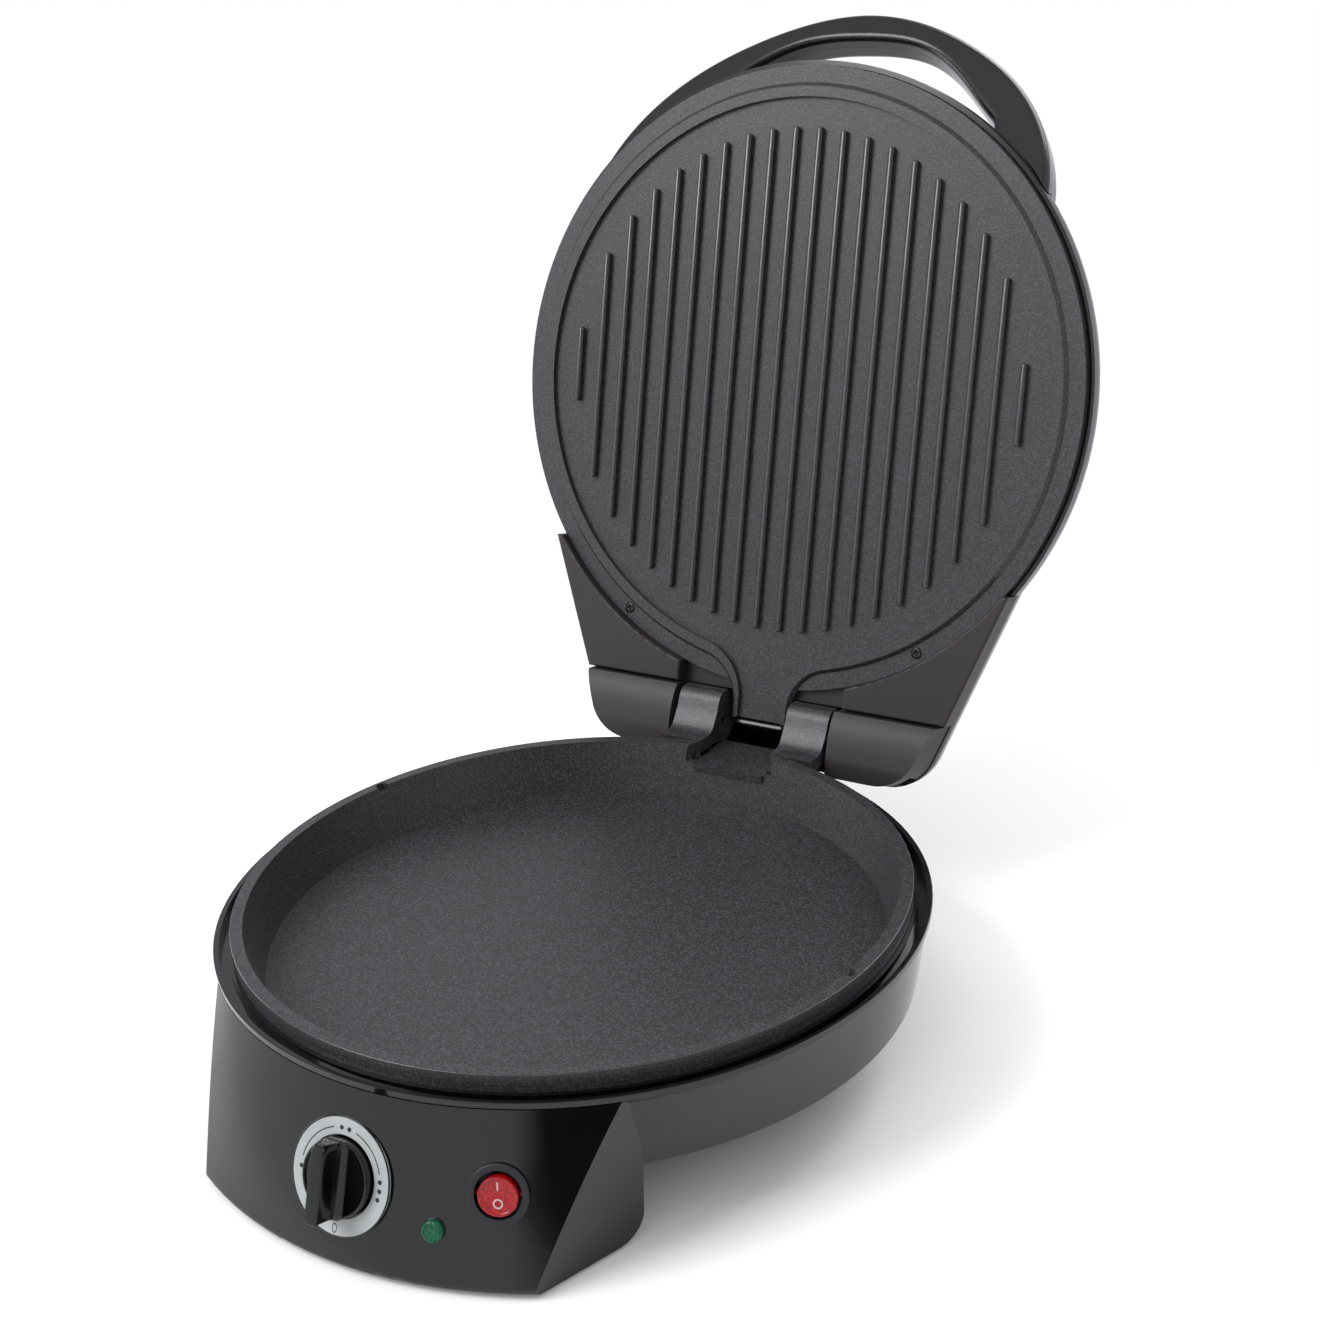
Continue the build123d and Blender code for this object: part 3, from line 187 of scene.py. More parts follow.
@dataclass(frozen=True)
class Finish:
    """A real material and how its surface was made.

    Attributes:
        name: the material's name.
        colour: its sRGB colour.
        roughness: the shader's roughness.
        slot: the record's material slot; not used here.
        metallic: 1 for a bare metal.
        ior: the index of refraction of a dielectric.
        grain_mm: size of the surface's texture.
        relief_mm: height of that texture.
        fleck: sRGB colour of flecks in the surface, or none.
        fleck_amount: how much of the surface they take.
        wave_mm: length of the slow waves of a moulded surface.
        wave_relief_mm: their height.
        specular: the shader's specular level.
    """

    name: str
    colour: str
    roughness: float
    slot: str
    metallic: float = 0.0
    ior: float = 1.5
    grain_mm: float = 0.6
    relief_mm: float = 0.0
    fleck: str | None = None
    fleck_amount: float = 0.3
    wave_mm: float = 0.0
    wave_relief_mm: float = 0.0
    specular: float = 0.5

    def material(self) -> Material:
        """Builds the material, once.

        Returns:
            The material, or the one that was built before under this name.
        """
        known = bpy.data.materials.get(self.name)
        if known:
            return known
        made = bpy.data.materials.new(self.name)
        made.use_nodes = True
        tree = made.node_tree
        shader = tree.nodes["Principled BSDF"]
        shader.inputs["Base Color"].default_value = linear(self.colour)
        shader.inputs["Roughness"].default_value = self.roughness
        shader.inputs["Metallic"].default_value = self.metallic
        shader.inputs["Specular IOR Level"].default_value = self.specular
        if self.metallic == 0:
            shader.inputs["IOR"].default_value = self.ior
        place = add_node(tree, "TexCoord").outputs["Object"]
        tree.links.new(self.mixed_colour(tree, place), shader.inputs["Base Color"])
        normal = self.relief(tree, place)
        if normal:
            tree.links.new(normal, shader.inputs["Normal"])
        return made

    def mixed_colour(self, tree: NodeTree, place: NodeSocket) -> NodeSocket:
        """Mixes the flecks, or a slight unevenness, into the colour.

        Args:
            tree: the material's nodes.
            place: the piece's own coordinates.

        Returns:
            The socket that gives the colour.
        """
        base = linear(self.colour)
        if self.fleck:
            begins, reach, edge = FLECK
            size, low = self.grain_mm, begins - reach * self.fleck_amount
            other = linear(self.fleck)
        else:
            size, low, edge, shade = PATCH
            other = (*(shade * part for part in base[:3]), 1.0)
        feeds = {"Vector": place, "Scale": 1 / (size * MM), "Detail": COLOUR_DETAIL}
        noise = add_node(tree, "TexNoise", feeds)
        ramp = add_node(
            tree,
            "MapRange",
            {"Value": noise.outputs["Fac"], "From Min": low, "From Max": low + edge},
        )
        mix = add_node(
            tree,
            "Mix",
            {"Factor": ramp.outputs["Result"], MIX_FIRST: base, MIX_SECOND: other},
            data_type="RGBA",
        )
        return mix.outputs[MIX_RESULT]

    def relief(self, tree: NodeTree, place: NodeSocket) -> NodeSocket | None:
        """Makes the fine texture and the slow waves.

        Args:
            tree: the material's nodes.
            place: the piece's own coordinates.

        Returns:
            The socket that gives the normal, or none for a smooth surface.
        """
        normal = None
        layers = ((self.grain_mm, self.relief_mm), (self.wave_mm, self.wave_relief_mm))
        for size, height in layers:
            if height == 0:
                continue
            feeds = {"Vector": place, "Scale": 1 / (size * MM), "Detail": RELIEF_DETAIL}
            noise = add_node(tree, "TexNoise", feeds)
            feeds = {"Height": noise.outputs["Fac"], "Strength": 1.0, "Distance": height * MM}
            if normal:
                feeds["Normal"] = normal
            normal = add_node(tree, "Bump", feeds).outputs["Normal"]
        return normal


# A pixel of the photograph spans about half a millimetre. Sprayed, sparked and turned surfaces
# are finer than that, so each grain_mm is drawn coarser than the real one, as it needs to show.

# Sprayed non-stick coating on cast aluminium: dark grey satin with fine pale flecks
NONSTICK = Finish(
    "nonstick_on_cast_aluminium", "#262628", 0.4, "nonstick",
    grain_mm=0.95, relief_mm=0.07, fleck="#3f4045", fleck_amount=0.7,
)
# The same coating over the ribs and the pan's rim: smoother, and coloured paler than the coating as
# a painted highlight, so that it draws pale lines there
PAINTED_HIGHLIGHT_COATING = Finish(
    "nonstick_with_painted_highlight", "#3a3c42", 0.24, "nonstick",
    grain_mm=0.85, relief_mm=0.02, specular=0.9,
)
# Polished ABS: near black, mirrors the studio, with the slow waves of a large moulding
GLOSS_ABS = Finish(
    "polished_black_abs", "#0d0b0b", 0.09, "gloss_black",
    ior=1.52, wave_mm=45, wave_relief_mm=0.05,
)
# Satin ABS: warm dark grey with a fine spark texture that dulls the highlights
SATIN_ABS = Finish(
    "satin_black_abs", "#282523", 0.5, "satin_black",
    grain_mm=0.5, relief_mm=0.012, specular=0.42,
)
# Polished handle: warm black with long soft highlights along the bow
HANDLE_ABS = Finish(
    "polished_handle_abs", "#181514", 0.2, "satin_black",
    grain_mm=0.6, relief_mm=0.003, specular=0.45,
)
# Textured polypropylene: dull black of the covers under the base
MATT_PP = Finish(
    "textured_black_polypropylene", "#1c1b1b", 0.6, "matte_black",
    grain_mm=0.8, relief_mm=0.04,
)
# Silver-white print: pale and slightly glossy, so that the dial stands out
DIAL_PRINT = Finish(
    "silver_white_dial_print", "#b6babc", 0.3, "dial_white",
    grain_mm=0.5, relief_mm=0.004,
)
# Pad-printed ink: thin, dark and dull on the pale ring
INK = Finish(
    "black_pad_print", "#111114", 0.5, "dial_white",
    grain_mm=0.3, relief_mm=0.002,
)
# Pad-printed ink: thin and pale on the red rocker
WHITE_INK = Finish(
    "white_pad_print", "#d8c4c4", 0.5, "rocker_red",
    grain_mm=0.3, relief_mm=0.002,
)
# Polished knob: blue-black, with bright lines along its edges
KNOB_ABS = Finish(
    "polished_knob_abs", "#08090c", 0.14, "knob_black",
    wave_mm=12, wave_relief_mm=0.02,
)
# Moulded nylon: the satin dark grey bezel
SWITCH_NYLON = Finish(
    "black_switch_nylon", "#232327", 0.38, "switch_black",
    grain_mm=0.5, relief_mm=0.006, specular=0.4,
)
# Tinted polycarbonate: deep green, bright where its rings catch the light
GREEN_LENS = Finish(
    "green_polycarbonate_lens", "#0a4f37", 0.08, "lamp_green",
    grain_mm=1.2, relief_mm=0.03, fleck="#14805a", fleck_amount=0.2, specular=0.35,
)
# Tinted polycarbonate: deep red with a bright rim
RED_ROCKER = Finish(
    "red_polycarbonate_rocker", "#8c0710", 0.18, "rocker_red",
    ior=1.45, grain_mm=1.2, relief_mm=0.03, fleck="#b3121c", fleck_amount=0.8, specular=0.6,
)
# Zinc plate: pale grey, softly bright
ZINC = Finish(
    "zinc_plated_steel", "#b9bab8", 0.3, "screw_steel",
    metallic=1.0, grain_mm=0.5, relief_mm=0.004,
)
# Blackened screw heads: dark with a dull metal glint
BLACK_STEEL = Finish(
    "blackened_steel", "#3a3a3c", 0.38, "screw_dark",
    metallic=1.0, grain_mm=0.5, relief_mm=0.004,
)
# Turned steel: fine bright highlights on the shaft and the pins
TURNED_STEEL = Finish(
    "turned_steel", "#a9a9a7", 0.28, "shaft_steel",
    metallic=1.0, grain_mm=0.4, relief_mm=0.003,
)
# Pressed steel: the dull housing of the thermostat
PRESSED_STEEL = Finish(
    "pressed_steel", "#a5a49f", 0.35, "thermostat_steel",
    metallic=1.0, grain_mm=1.0, relief_mm=0.006,
)
# Pressed aluminium sheet: pale and slightly dimpled
SHEET = Finish(
    "pressed_aluminium_sheet", "#c8c8c6", 0.3, "reflector_sheet",
    metallic=1.0, grain_mm=1.2, relief_mm=0.01,
)
# Sheathed heater tube: brown-grey and dull after its first heating
SHEATH = Finish(
    "oxidised_steel_sheath", "#6a6663", 0.45, "heater_steel",
    metallic=1.0, grain_mm=1.0, relief_mm=0.01,
)
# Natural polyamide: pale cream and dull
POLYAMIDE = Finish(
    "pale_polyamide", "#d6d3c8", 0.5, "terminal_plastic",
    grain_mm=0.8, relief_mm=0.01,
)
# Silicone rubber: mid grey and matt
FOOT_RUBBER = Finish(
    "grey_silicone_rubber", "#4a4a4a", 0.75, "rubber_grey",
    grain_mm=0.8, relief_mm=0.02,
)
# Moulded rubber: matt black
BUSH_RUBBER = Finish(
    "black_moulded_rubber", "#161616", 0.6, "rubber_black",
    grain_mm=0.8, relief_mm=0.02,
)

# Points closer than this count as one
HAIR = 0.01 * MM


def only(piece: Object) -> None:
    """Selects one object and nothing else."""
    bpy.ops.object.select_all(action="DESELECT")
    piece.select_set(True)
    bpy.context.view_layer.objects.active = piece


def skin(node: str, finish: Finish, body: Body) -> Object:
    """A finished copy of a CAD node, its doubles merged and its own exact normals kept.

    Args:
        node: the CAD node.
        finish: its material.
        body: the body that it rides on.

    Returns:
        The piece.
    """
    piece = frame["nodes"][node].copy()
    piece.data = piece.data.copy()
    piece.name = node + "_skin"
    piece.parent = None
    piece.matrix_world = Matrix.Identity(4)
    bpy.context.collection.objects.link(piece)
    only(piece)
    bpy.ops.object.mode_set(mode="EDIT")
    bpy.ops.mesh.select_mode(type="EDGE")
    bpy.ops.mesh.select_all(action="DESELECT")
    bpy.ops.mesh.select_non_manifold()
    bpy.ops.mesh.mark_sharp()
    bpy.ops.mesh.select_all(action="SELECT")
    bpy.ops.mesh.remove_doubles(threshold=HAIR)
    bpy.ops.object.mode_set(mode="OBJECT")
    finish_piece(piece, finish, body)
    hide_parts(node)
    return piece


def finish_piece(piece: Object, finish: Finish, body: Body) -> None:
    """Gives a piece its material and body, and reports it."""
    piece.data.materials.clear()
    piece.data.materials.append(finish.material())
    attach(piece, body.value)
    LOG.info("%s: %d faces", piece.name, len(piece.data.polygons))


@dataclass
class Studio:
    """A plain white studio: a pale floor, soft lamps and the photograph's camera.

    Attributes:
        azimuth: the camera's direction, from the part's front to its right.
        elevation: the camera's direction above the level.
        roll: the camera's turn about its line of sight.
        offset: the camera's place from the middle of the pan's rim.
        focal_px: focal length in pixels of the photograph.
        frame_px: the photograph's width.
        sensor_mm: width of the camera's sensor.
        nearest: what lies closer to the camera isn't seen.
        tent_light: strength of the tent as a lamp.
        light_from: share of that strength low down, and the direction's height there.
        light_to: share of that strength high up, and the direction's height there.
        tent_turns: places on the mirrored wall, in degrees from the front to the right.
        tent_levels: the wall's brightness at each of them.
        behind: the mirrored wall's brightness behind the part.
        tint: the mirrored wall's colour.
        horizon: how far below the level the wall turns into the white table.
        floor_size: side of the floor.
        floor_colour: its sRGB colour.
        floor_roughness: its shader's roughness.
        floor_specular: its shader's specular level.
        floor_clear: distance from the middle at which the floor starts to fade.
        floor_gone: distance at which it has faded.
        aim: the point that the lamps face.
        lamps: name, place, length of the side and watts of each lamp.
    """

    azimuth: float = math.radians(32.48)
    elevation: float = math.radians(22.82)
    roll: float = math.radians(-4.06)
    offset: Vector = field(default_factory=lambda: Vector((498.98, -695.61, 466.28)) * MM)
    focal_px: float = 2111.99
    frame_px: float = 1320.0
    sensor_mm: float = 36.0
    nearest: float = 0.01
    tent_light: float = 0.6
    light_from: tuple = (0.45, -0.1)
    light_to: tuple = (1.5, 0.9)
    tent_turns: tuple = (-120, -95, -60, 13, 22, 58, 68)
    tent_levels: tuple = (0.7, 0.5, 1.0, 1.0, 0.02, 0.02, 1.0)
    behind: float = 0.7
    tint: tuple = (0.98, 0.985, 1.04)
    horizon: float = 0.08
    floor_size: float = 12.0
    floor_colour: str = "#fafafa"
    floor_roughness: float = 0.9
    floor_specular: float = 0.1
    floor_clear: float = 0.2
    floor_gone: float = 0.48
    aim: tuple = (0, 0, 0.15)
    lamps: tuple = (
        ("key", (-1.3, -1.6, 2.0), 1.5, 54),
        ("window", (-1.5, -0.15, 0.25), 0.8, 6),
        ("fill", (1.8, -1.2, 1.4), 1.4, 5),
        ("back", (0.4, 2.0, 2.0), 1.8, 40),
    )

    def build(self) -> None:
        """Builds the camera, the world, the floor and the lamps."""
        self.camera()
        self.world()
        self.floor()
        for name, at, size, watts in self.lamps:
            self.lamp(name, at, size, watts)
        bpy.context.scene.view_settings.view_transform = "Standard"

    def camera(self) -> None:
        """Sets the camera at the photograph's viewpoint."""
        az, el = self.azimuth, self.elevation
        forward = Vector((-math.sin(az) * math.cos(el), math.cos(az) * math.cos(el), -math.sin(el)))
        right = forward.cross(Vector((0, 0, 1))).normalized()
        up = right.cross(forward)
        right_rolled = right * math.cos(self.roll) + up * math.sin(self.roll)
        up_rolled = up * math.cos(self.roll) - right * math.sin(self.roll)
        data = bpy.data.cameras.new("camera")
        data.sensor_width = self.sensor_mm
        data.lens = self.focal_px / self.frame_px * self.sensor_mm
        data.clip_start = self.nearest
        camera = bpy.data.objects.new("camera", data)
        camera.matrix_world = placing(PAN_CENTRE + self.offset, right_rolled, up_rolled, -forward)
        bpy.context.collection.objects.link(camera)
        bpy.context.scene.camera = camera

    def lamp(self, name: str, at: tuple, size: float, watts: float) -> None:
        """Adds one soft square lamp.

        Args:
            name: the lamp's name.
            at: where it stands, in metres.
            size: the length of its side, in metres.
            watts: its power.
        """
        data = bpy.data.lights.new(name, "AREA")
        data.energy = watts
        data.size = size
        lamp = bpy.data.objects.new(name, data)
        direction = Vector(self.aim) - Vector(at)
        lamp.rotation_euler = direction.to_track_quat("-Z", "Y").to_euler()
        lamp.location = at
        bpy.context.collection.objects.link(lamp)

    def world(self) -> None:
        """Surrounds the part: white to the camera, a tent to gloss and glass, and a soft lamp."""
        world = bpy.data.worlds.new("studio")
        bpy.context.scene.world = world
        world.use_nodes = True
        tree = world.node_tree
        tree.nodes.clear()
        path = add_node(tree, "LightPath")
        place = add_node(tree, "TexCoord")
        way = add_node(tree, "SeparateXYZ", {"Vector": place.outputs["Generated"]})
        mirror = add_node(
            tree,
            "Math",
            {0: path.outputs["Is Glossy Ray"], 1: path.outputs["Is Transmission Ray"]},
            operation="MAXIMUM",
        )
        strength = self.lamp_strength(tree, way)
        soft = add_node(tree, "Background", {"Color": WHITE, "Strength": strength})
        tent = add_node(tree, "Background", {"Color": self.tent_colour(tree, way)})
        white = add_node(tree, "Background", {"Color": WHITE})
        light = add_node(
            tree,
            "MixShader",
            {0: mirror.outputs[0], 1: soft.outputs[0], 2: tent.outputs[0]},
        )
        seen = add_node(
            tree,
            "MixShader",
            {0: path.outputs["Is Camera Ray"], 1: light.outputs[0], 2: white.outputs[0]},
        )
        add_node(tree, "OutputWorld", {"Surface": seen.outputs[0]})

    def lamp_strength(self, tree: NodeTree, way: Node) -> NodeSocket:
        """The tent's strength as a lamp, more from above.

        Args:
            tree: the world's nodes.
            way: gives x, y and z of the direction looked in.

        Returns:
            The socket that gives the strength.
        """
        low, low_height = self.light_from
        high, high_height = self.light_to
        feeds = {
            "Value": way.outputs["Z"],
            "From Min": low_height,
            "From Max": high_height,
            "To Min": self.tent_light * low,
            "To Max": self.tent_light * high,
        }
        return add_node(tree, "MapRange", feeds).outputs["Result"]

    def tent_colour(self, tree: NodeTree, way: Node) -> NodeSocket:
        """The wall that gloss mirrors: white, with a dark card round the camera.

        Args:
            tree: the world's nodes.
            way: gives x, y and z of the direction looked in.

        Returns:
            The socket that gives the colour.
        """
        ahead = add_node(tree, "Math", {0: way.outputs["Y"], 1: -1.0}, operation="MULTIPLY")
        sides = {0: way.outputs["X"], 1: ahead.outputs[0]}
        turn = add_node(tree, "Math", sides, operation="ARCTAN2")
        along = add_node(
            tree,
            "MapRange",
            {"Value": turn.outputs[0], "From Min": -math.pi, "From Max": math.pi},
        )
        wall = add_node(tree, "ValToRGB", {"Fac": along.outputs["Result"]})
        # The ramp runs once round, from -180 to 180 degrees, so both its ends are behind
        stops = wall.color_ramp.elements
        for end in stops:
            end.color = self.grey(self.behind)
        for angle, level in zip(self.tent_turns, self.tent_levels):
            made = stops.new((angle + 180) / 360)
            made.color = self.grey(level)
        below = add_node(
            tree,
            "MapRange",
            {"Value": way.outputs["Z"], "From Min": 0.0, "From Max": -self.horizon},
        )
        tent = add_node(
            tree,
            "Mix",
            {
                "Factor": below.outputs["Result"],
                MIX_FIRST: wall.outputs["Color"],
                MIX_SECOND: self.grey(1.0),
            },
            data_type="RGBA",
        )
        return tent.outputs[MIX_RESULT]

    def grey(self, level: float) -> tuple[float, float, float, float]:
        """The wall's colour at the given linear level."""
        return (*(level * part for part in self.tint), 1.0)

    def floor(self) -> None:
        """A white floor that keeps the object's shadow and fades into the white tent."""
        bpy.ops.object.select_all(action="DESELECT")
        bpy.ops.mesh.primitive_plane_add(size=self.floor_size)
        floor = bpy.context.object
        floor.name = "floor"
        floor.data.materials.append(self.paper())

    def paper(self) -> Material:
        """White paper, clear far out and from below.

        Returns:
            The floor's material.
        """
        made = bpy.data.materials.new("white_paper")
        made.use_nodes = True
        tree = made.node_tree
        shader = tree.nodes["Principled BSDF"]
        shader.inputs["Base Color"].default_value = linear(self.floor_colour)
        shader.inputs["Roughness"].default_value = self.floor_roughness
        shader.inputs["Specular IOR Level"].default_value = self.floor_specular
        place = add_node(tree, "TexCoord")
        far = add_node(tree, "VectorMath", {0: place.outputs["Object"]}, operation="LENGTH")
        feeds = {"From Min": self.floor_clear, "From Max": self.floor_gone}
        feeds["Value"] = far.outputs["Value"]
        fade = add_node(tree, "MapRange", feeds, interpolation_type="SMOOTHSTEP")
        side = add_node(tree, "NewGeometry")
        clear = add_node(
            tree,
            "Math",
            {0: fade.outputs["Result"], 1: side.outputs["Backfacing"]},
            operation="MAXIMUM",
        )
        gone = add_node(tree, "BsdfTransparent")
        mix = add_node(
            tree,
            "MixShader",
            {0: clear.outputs[0], 1: shader.outputs[0], 2: gone.outputs[0]},
        )
        tree.links.new(mix.outputs[0], tree.nodes["Material Output"].inputs["Surface"])
        return made


# A face whose normal rises more than this looks up
LOOKS_UP = 0.9
# Faces whose middles lie closer than this are the same face, in metres
SAME_FACE = 1e-7
# Edges this much sharper than the rounded ones are still shaded smooth, in degrees
SHADE_MARGIN = 5
# The face inside a sunk rim is this much smaller than its mouth
SUNK_TAPER = 0.97
# A collar's middle above the face, and its height over its width
COLLAR_RISE = 0.1 * MM
COLLAR_FLAT = 0.6


def begin(name: str) -> Object:
    """Names the primitive that was just added and starts editing it, with nothing selected."""
    piece = bpy.context.object
    piece.name = name
    bpy.ops.object.mode_set(mode="EDIT")
    bpy.ops.mesh.select_all(action="DESELECT")
    return piece


def cylinder(name: str, radius_mm: float, low_mm: float, high_mm: float, sides: int = 96) -> Object:
    """Adds an upright cylinder about the origin and starts editing it.

    Args:
        name: its name.
        radius_mm: its radius.
        low_mm: the height of its underside.
        high_mm: the height of its top.
        sides: how many it has.

    Returns:
        The cylinder, in edit mode.
    """
    bpy.ops.mesh.primitive_cylinder_add(
        vertices=sides,
        radius=radius_mm * MM,
        depth=(high_mm - low_mm) * MM,
        location=(0, 0, (low_mm + high_mm) / 2 * MM),
    )
    bpy.ops.object.transform_apply()
    return begin(name)


def pick(piece: Object, test: Callable[..., bool], mode: str = "FACE") -> None:
    """Selects the faces, edges or vertices that pass a test, and only them.

    Args:
        piece: the object in edit mode.
        test: takes a bmesh face, edge or vertex, and says whether it is picked.
        mode: FACE, EDGE or VERT.
    """
    bpy.ops.mesh.select_mode(type=mode)
    bpy.ops.mesh.select_all(action="DESELECT")
    mesh = bmesh.from_edit_mesh(piece.data)
    group = {"FACE": mesh.faces, "EDGE": mesh.edges, "VERT": mesh.verts}[mode]
    for part in group:
        if test(part):
            part.select_set(True)
    mesh.select_flush_mode()
    bmesh.update_edit_mesh(piece.data)


def top_face(piece: Object) -> None:
    """Selects the highest face that looks up."""
    mesh = bmesh.from_edit_mesh(piece.data)
    mesh.faces.ensure_lookup_table()
    upward = [face for face in mesh.faces if face.normal.z > LOOKS_UP]
    centre = max((face.calc_center_median().copy() for face in upward), key=lambda c: c.z)
    pick(piece, lambda face: (face.calc_center_median() - centre).length < SAME_FACE)


def step(rise: float, across: float = 1.0, along: float = 1.0) -> None:
    """Extrudes the picked face up and scales the new one about the middle.

    Args:
        rise: height in metres.
        across: scale along x.
        along: scale along y.
    """
    bpy.ops.mesh.extrude_region_move(TRANSFORM_OT_translate={"value": (0, 0, rise)})
    bpy.ops.transform.resize(value=(across, along, 1), center_override=(0, 0, 0))


def soften(piece: Object, width_mm: float, segments: int = 2, angle_deg: float = 30) -> None:
    """Rounds the sharp edges, applies the modifier and smooths the shading.

    Args:
        piece: the object, in edit mode or not.
        width_mm: width of the rounding.
        segments: faces across the rounding.
        angle_deg: edges sharper than this are rounded.
    """
    if piece.mode == "EDIT":
        bpy.ops.object.mode_set(mode="OBJECT")
    only(piece)
    bevel = piece.modifiers.new("rounded", "BEVEL")
    bevel.width = width_mm * MM
    bevel.segments = segments
    bevel.limit_method = "ANGLE"
    bevel.angle_limit = math.radians(angle_deg)
    bpy.ops.object.modifier_apply(modifier="rounded")
    bpy.ops.object.shade_smooth_by_angle(angle=math.radians(angle_deg + SHADE_MARGIN))


def put(piece: Object, place: Matrix) -> Object:
    """Moves a piece that was made at the origin to its place, inside its mesh."""
    if piece.mode == "EDIT":
        bpy.ops.object.mode_set(mode="OBJECT")
    only(piece)
    piece.matrix_world = place @ piece.matrix_world
    bpy.ops.object.transform_apply(location=True, rotation=True, scale=True)
    return piece


def join(pieces: list[Object], name: str) -> Object:
    """Joins pieces of one material into one object."""
    only(pieces[0])
    for piece in pieces:
        piece.select_set(True)
    bpy.ops.object.join()
    pieces[0].name = name
    return pieces[0]


def collar(name: str, radius_mm: float, thick_mm: float) -> Object:
    """A thin round ring about the origin, flat enough to lie in the face's seam.

    Args:
        name: the ring's name.
        radius_mm: radius of its middle line.
        thick_mm: half its width.

    Returns:
        The ring.
    """
    bpy.ops.mesh.primitive_torus_add(
        major_segments=96,
        minor_segments=12,
        major_radius=radius_mm * MM,
        minor_radius=thick_mm * MM,
        location=(0, 0, COLLAR_RISE),
    )
    ring = begin(name)
    bpy.ops.mesh.select_all(action="SELECT")
    bpy.ops.transform.resize(value=(1, 1, COLLAR_FLAT), center_override=(0, 0, COLLAR_RISE))
    bpy.ops.object.mode_set(mode="OBJECT")
    bpy.ops.object.shade_smooth()
    return ring


def ring_mark(size: tuple, at: tuple, shape: tuple, segments: int) -> Object:
    """A low printed ring.

    Args:
        size: radius of its middle line and half its width, in mm.
        at: its middle, in mm.
        shape: how far it is stretched along x, y and z.
        segments: how many it has round its middle line.

    Returns:
        The ring.
    """
    radius, thick = size
    bpy.ops.mesh.primitive_torus_add(
        major_segments=segments,
        minor_segments=8,
        major_radius=radius * MM,
        minor_radius=thick * MM,
        location=[part * MM for part in at],
    )
    ring = bpy.context.object
    ring.scale = shape
    bpy.ops.object.transform_apply()
    bpy.ops.object.shade_smooth()
    return ring


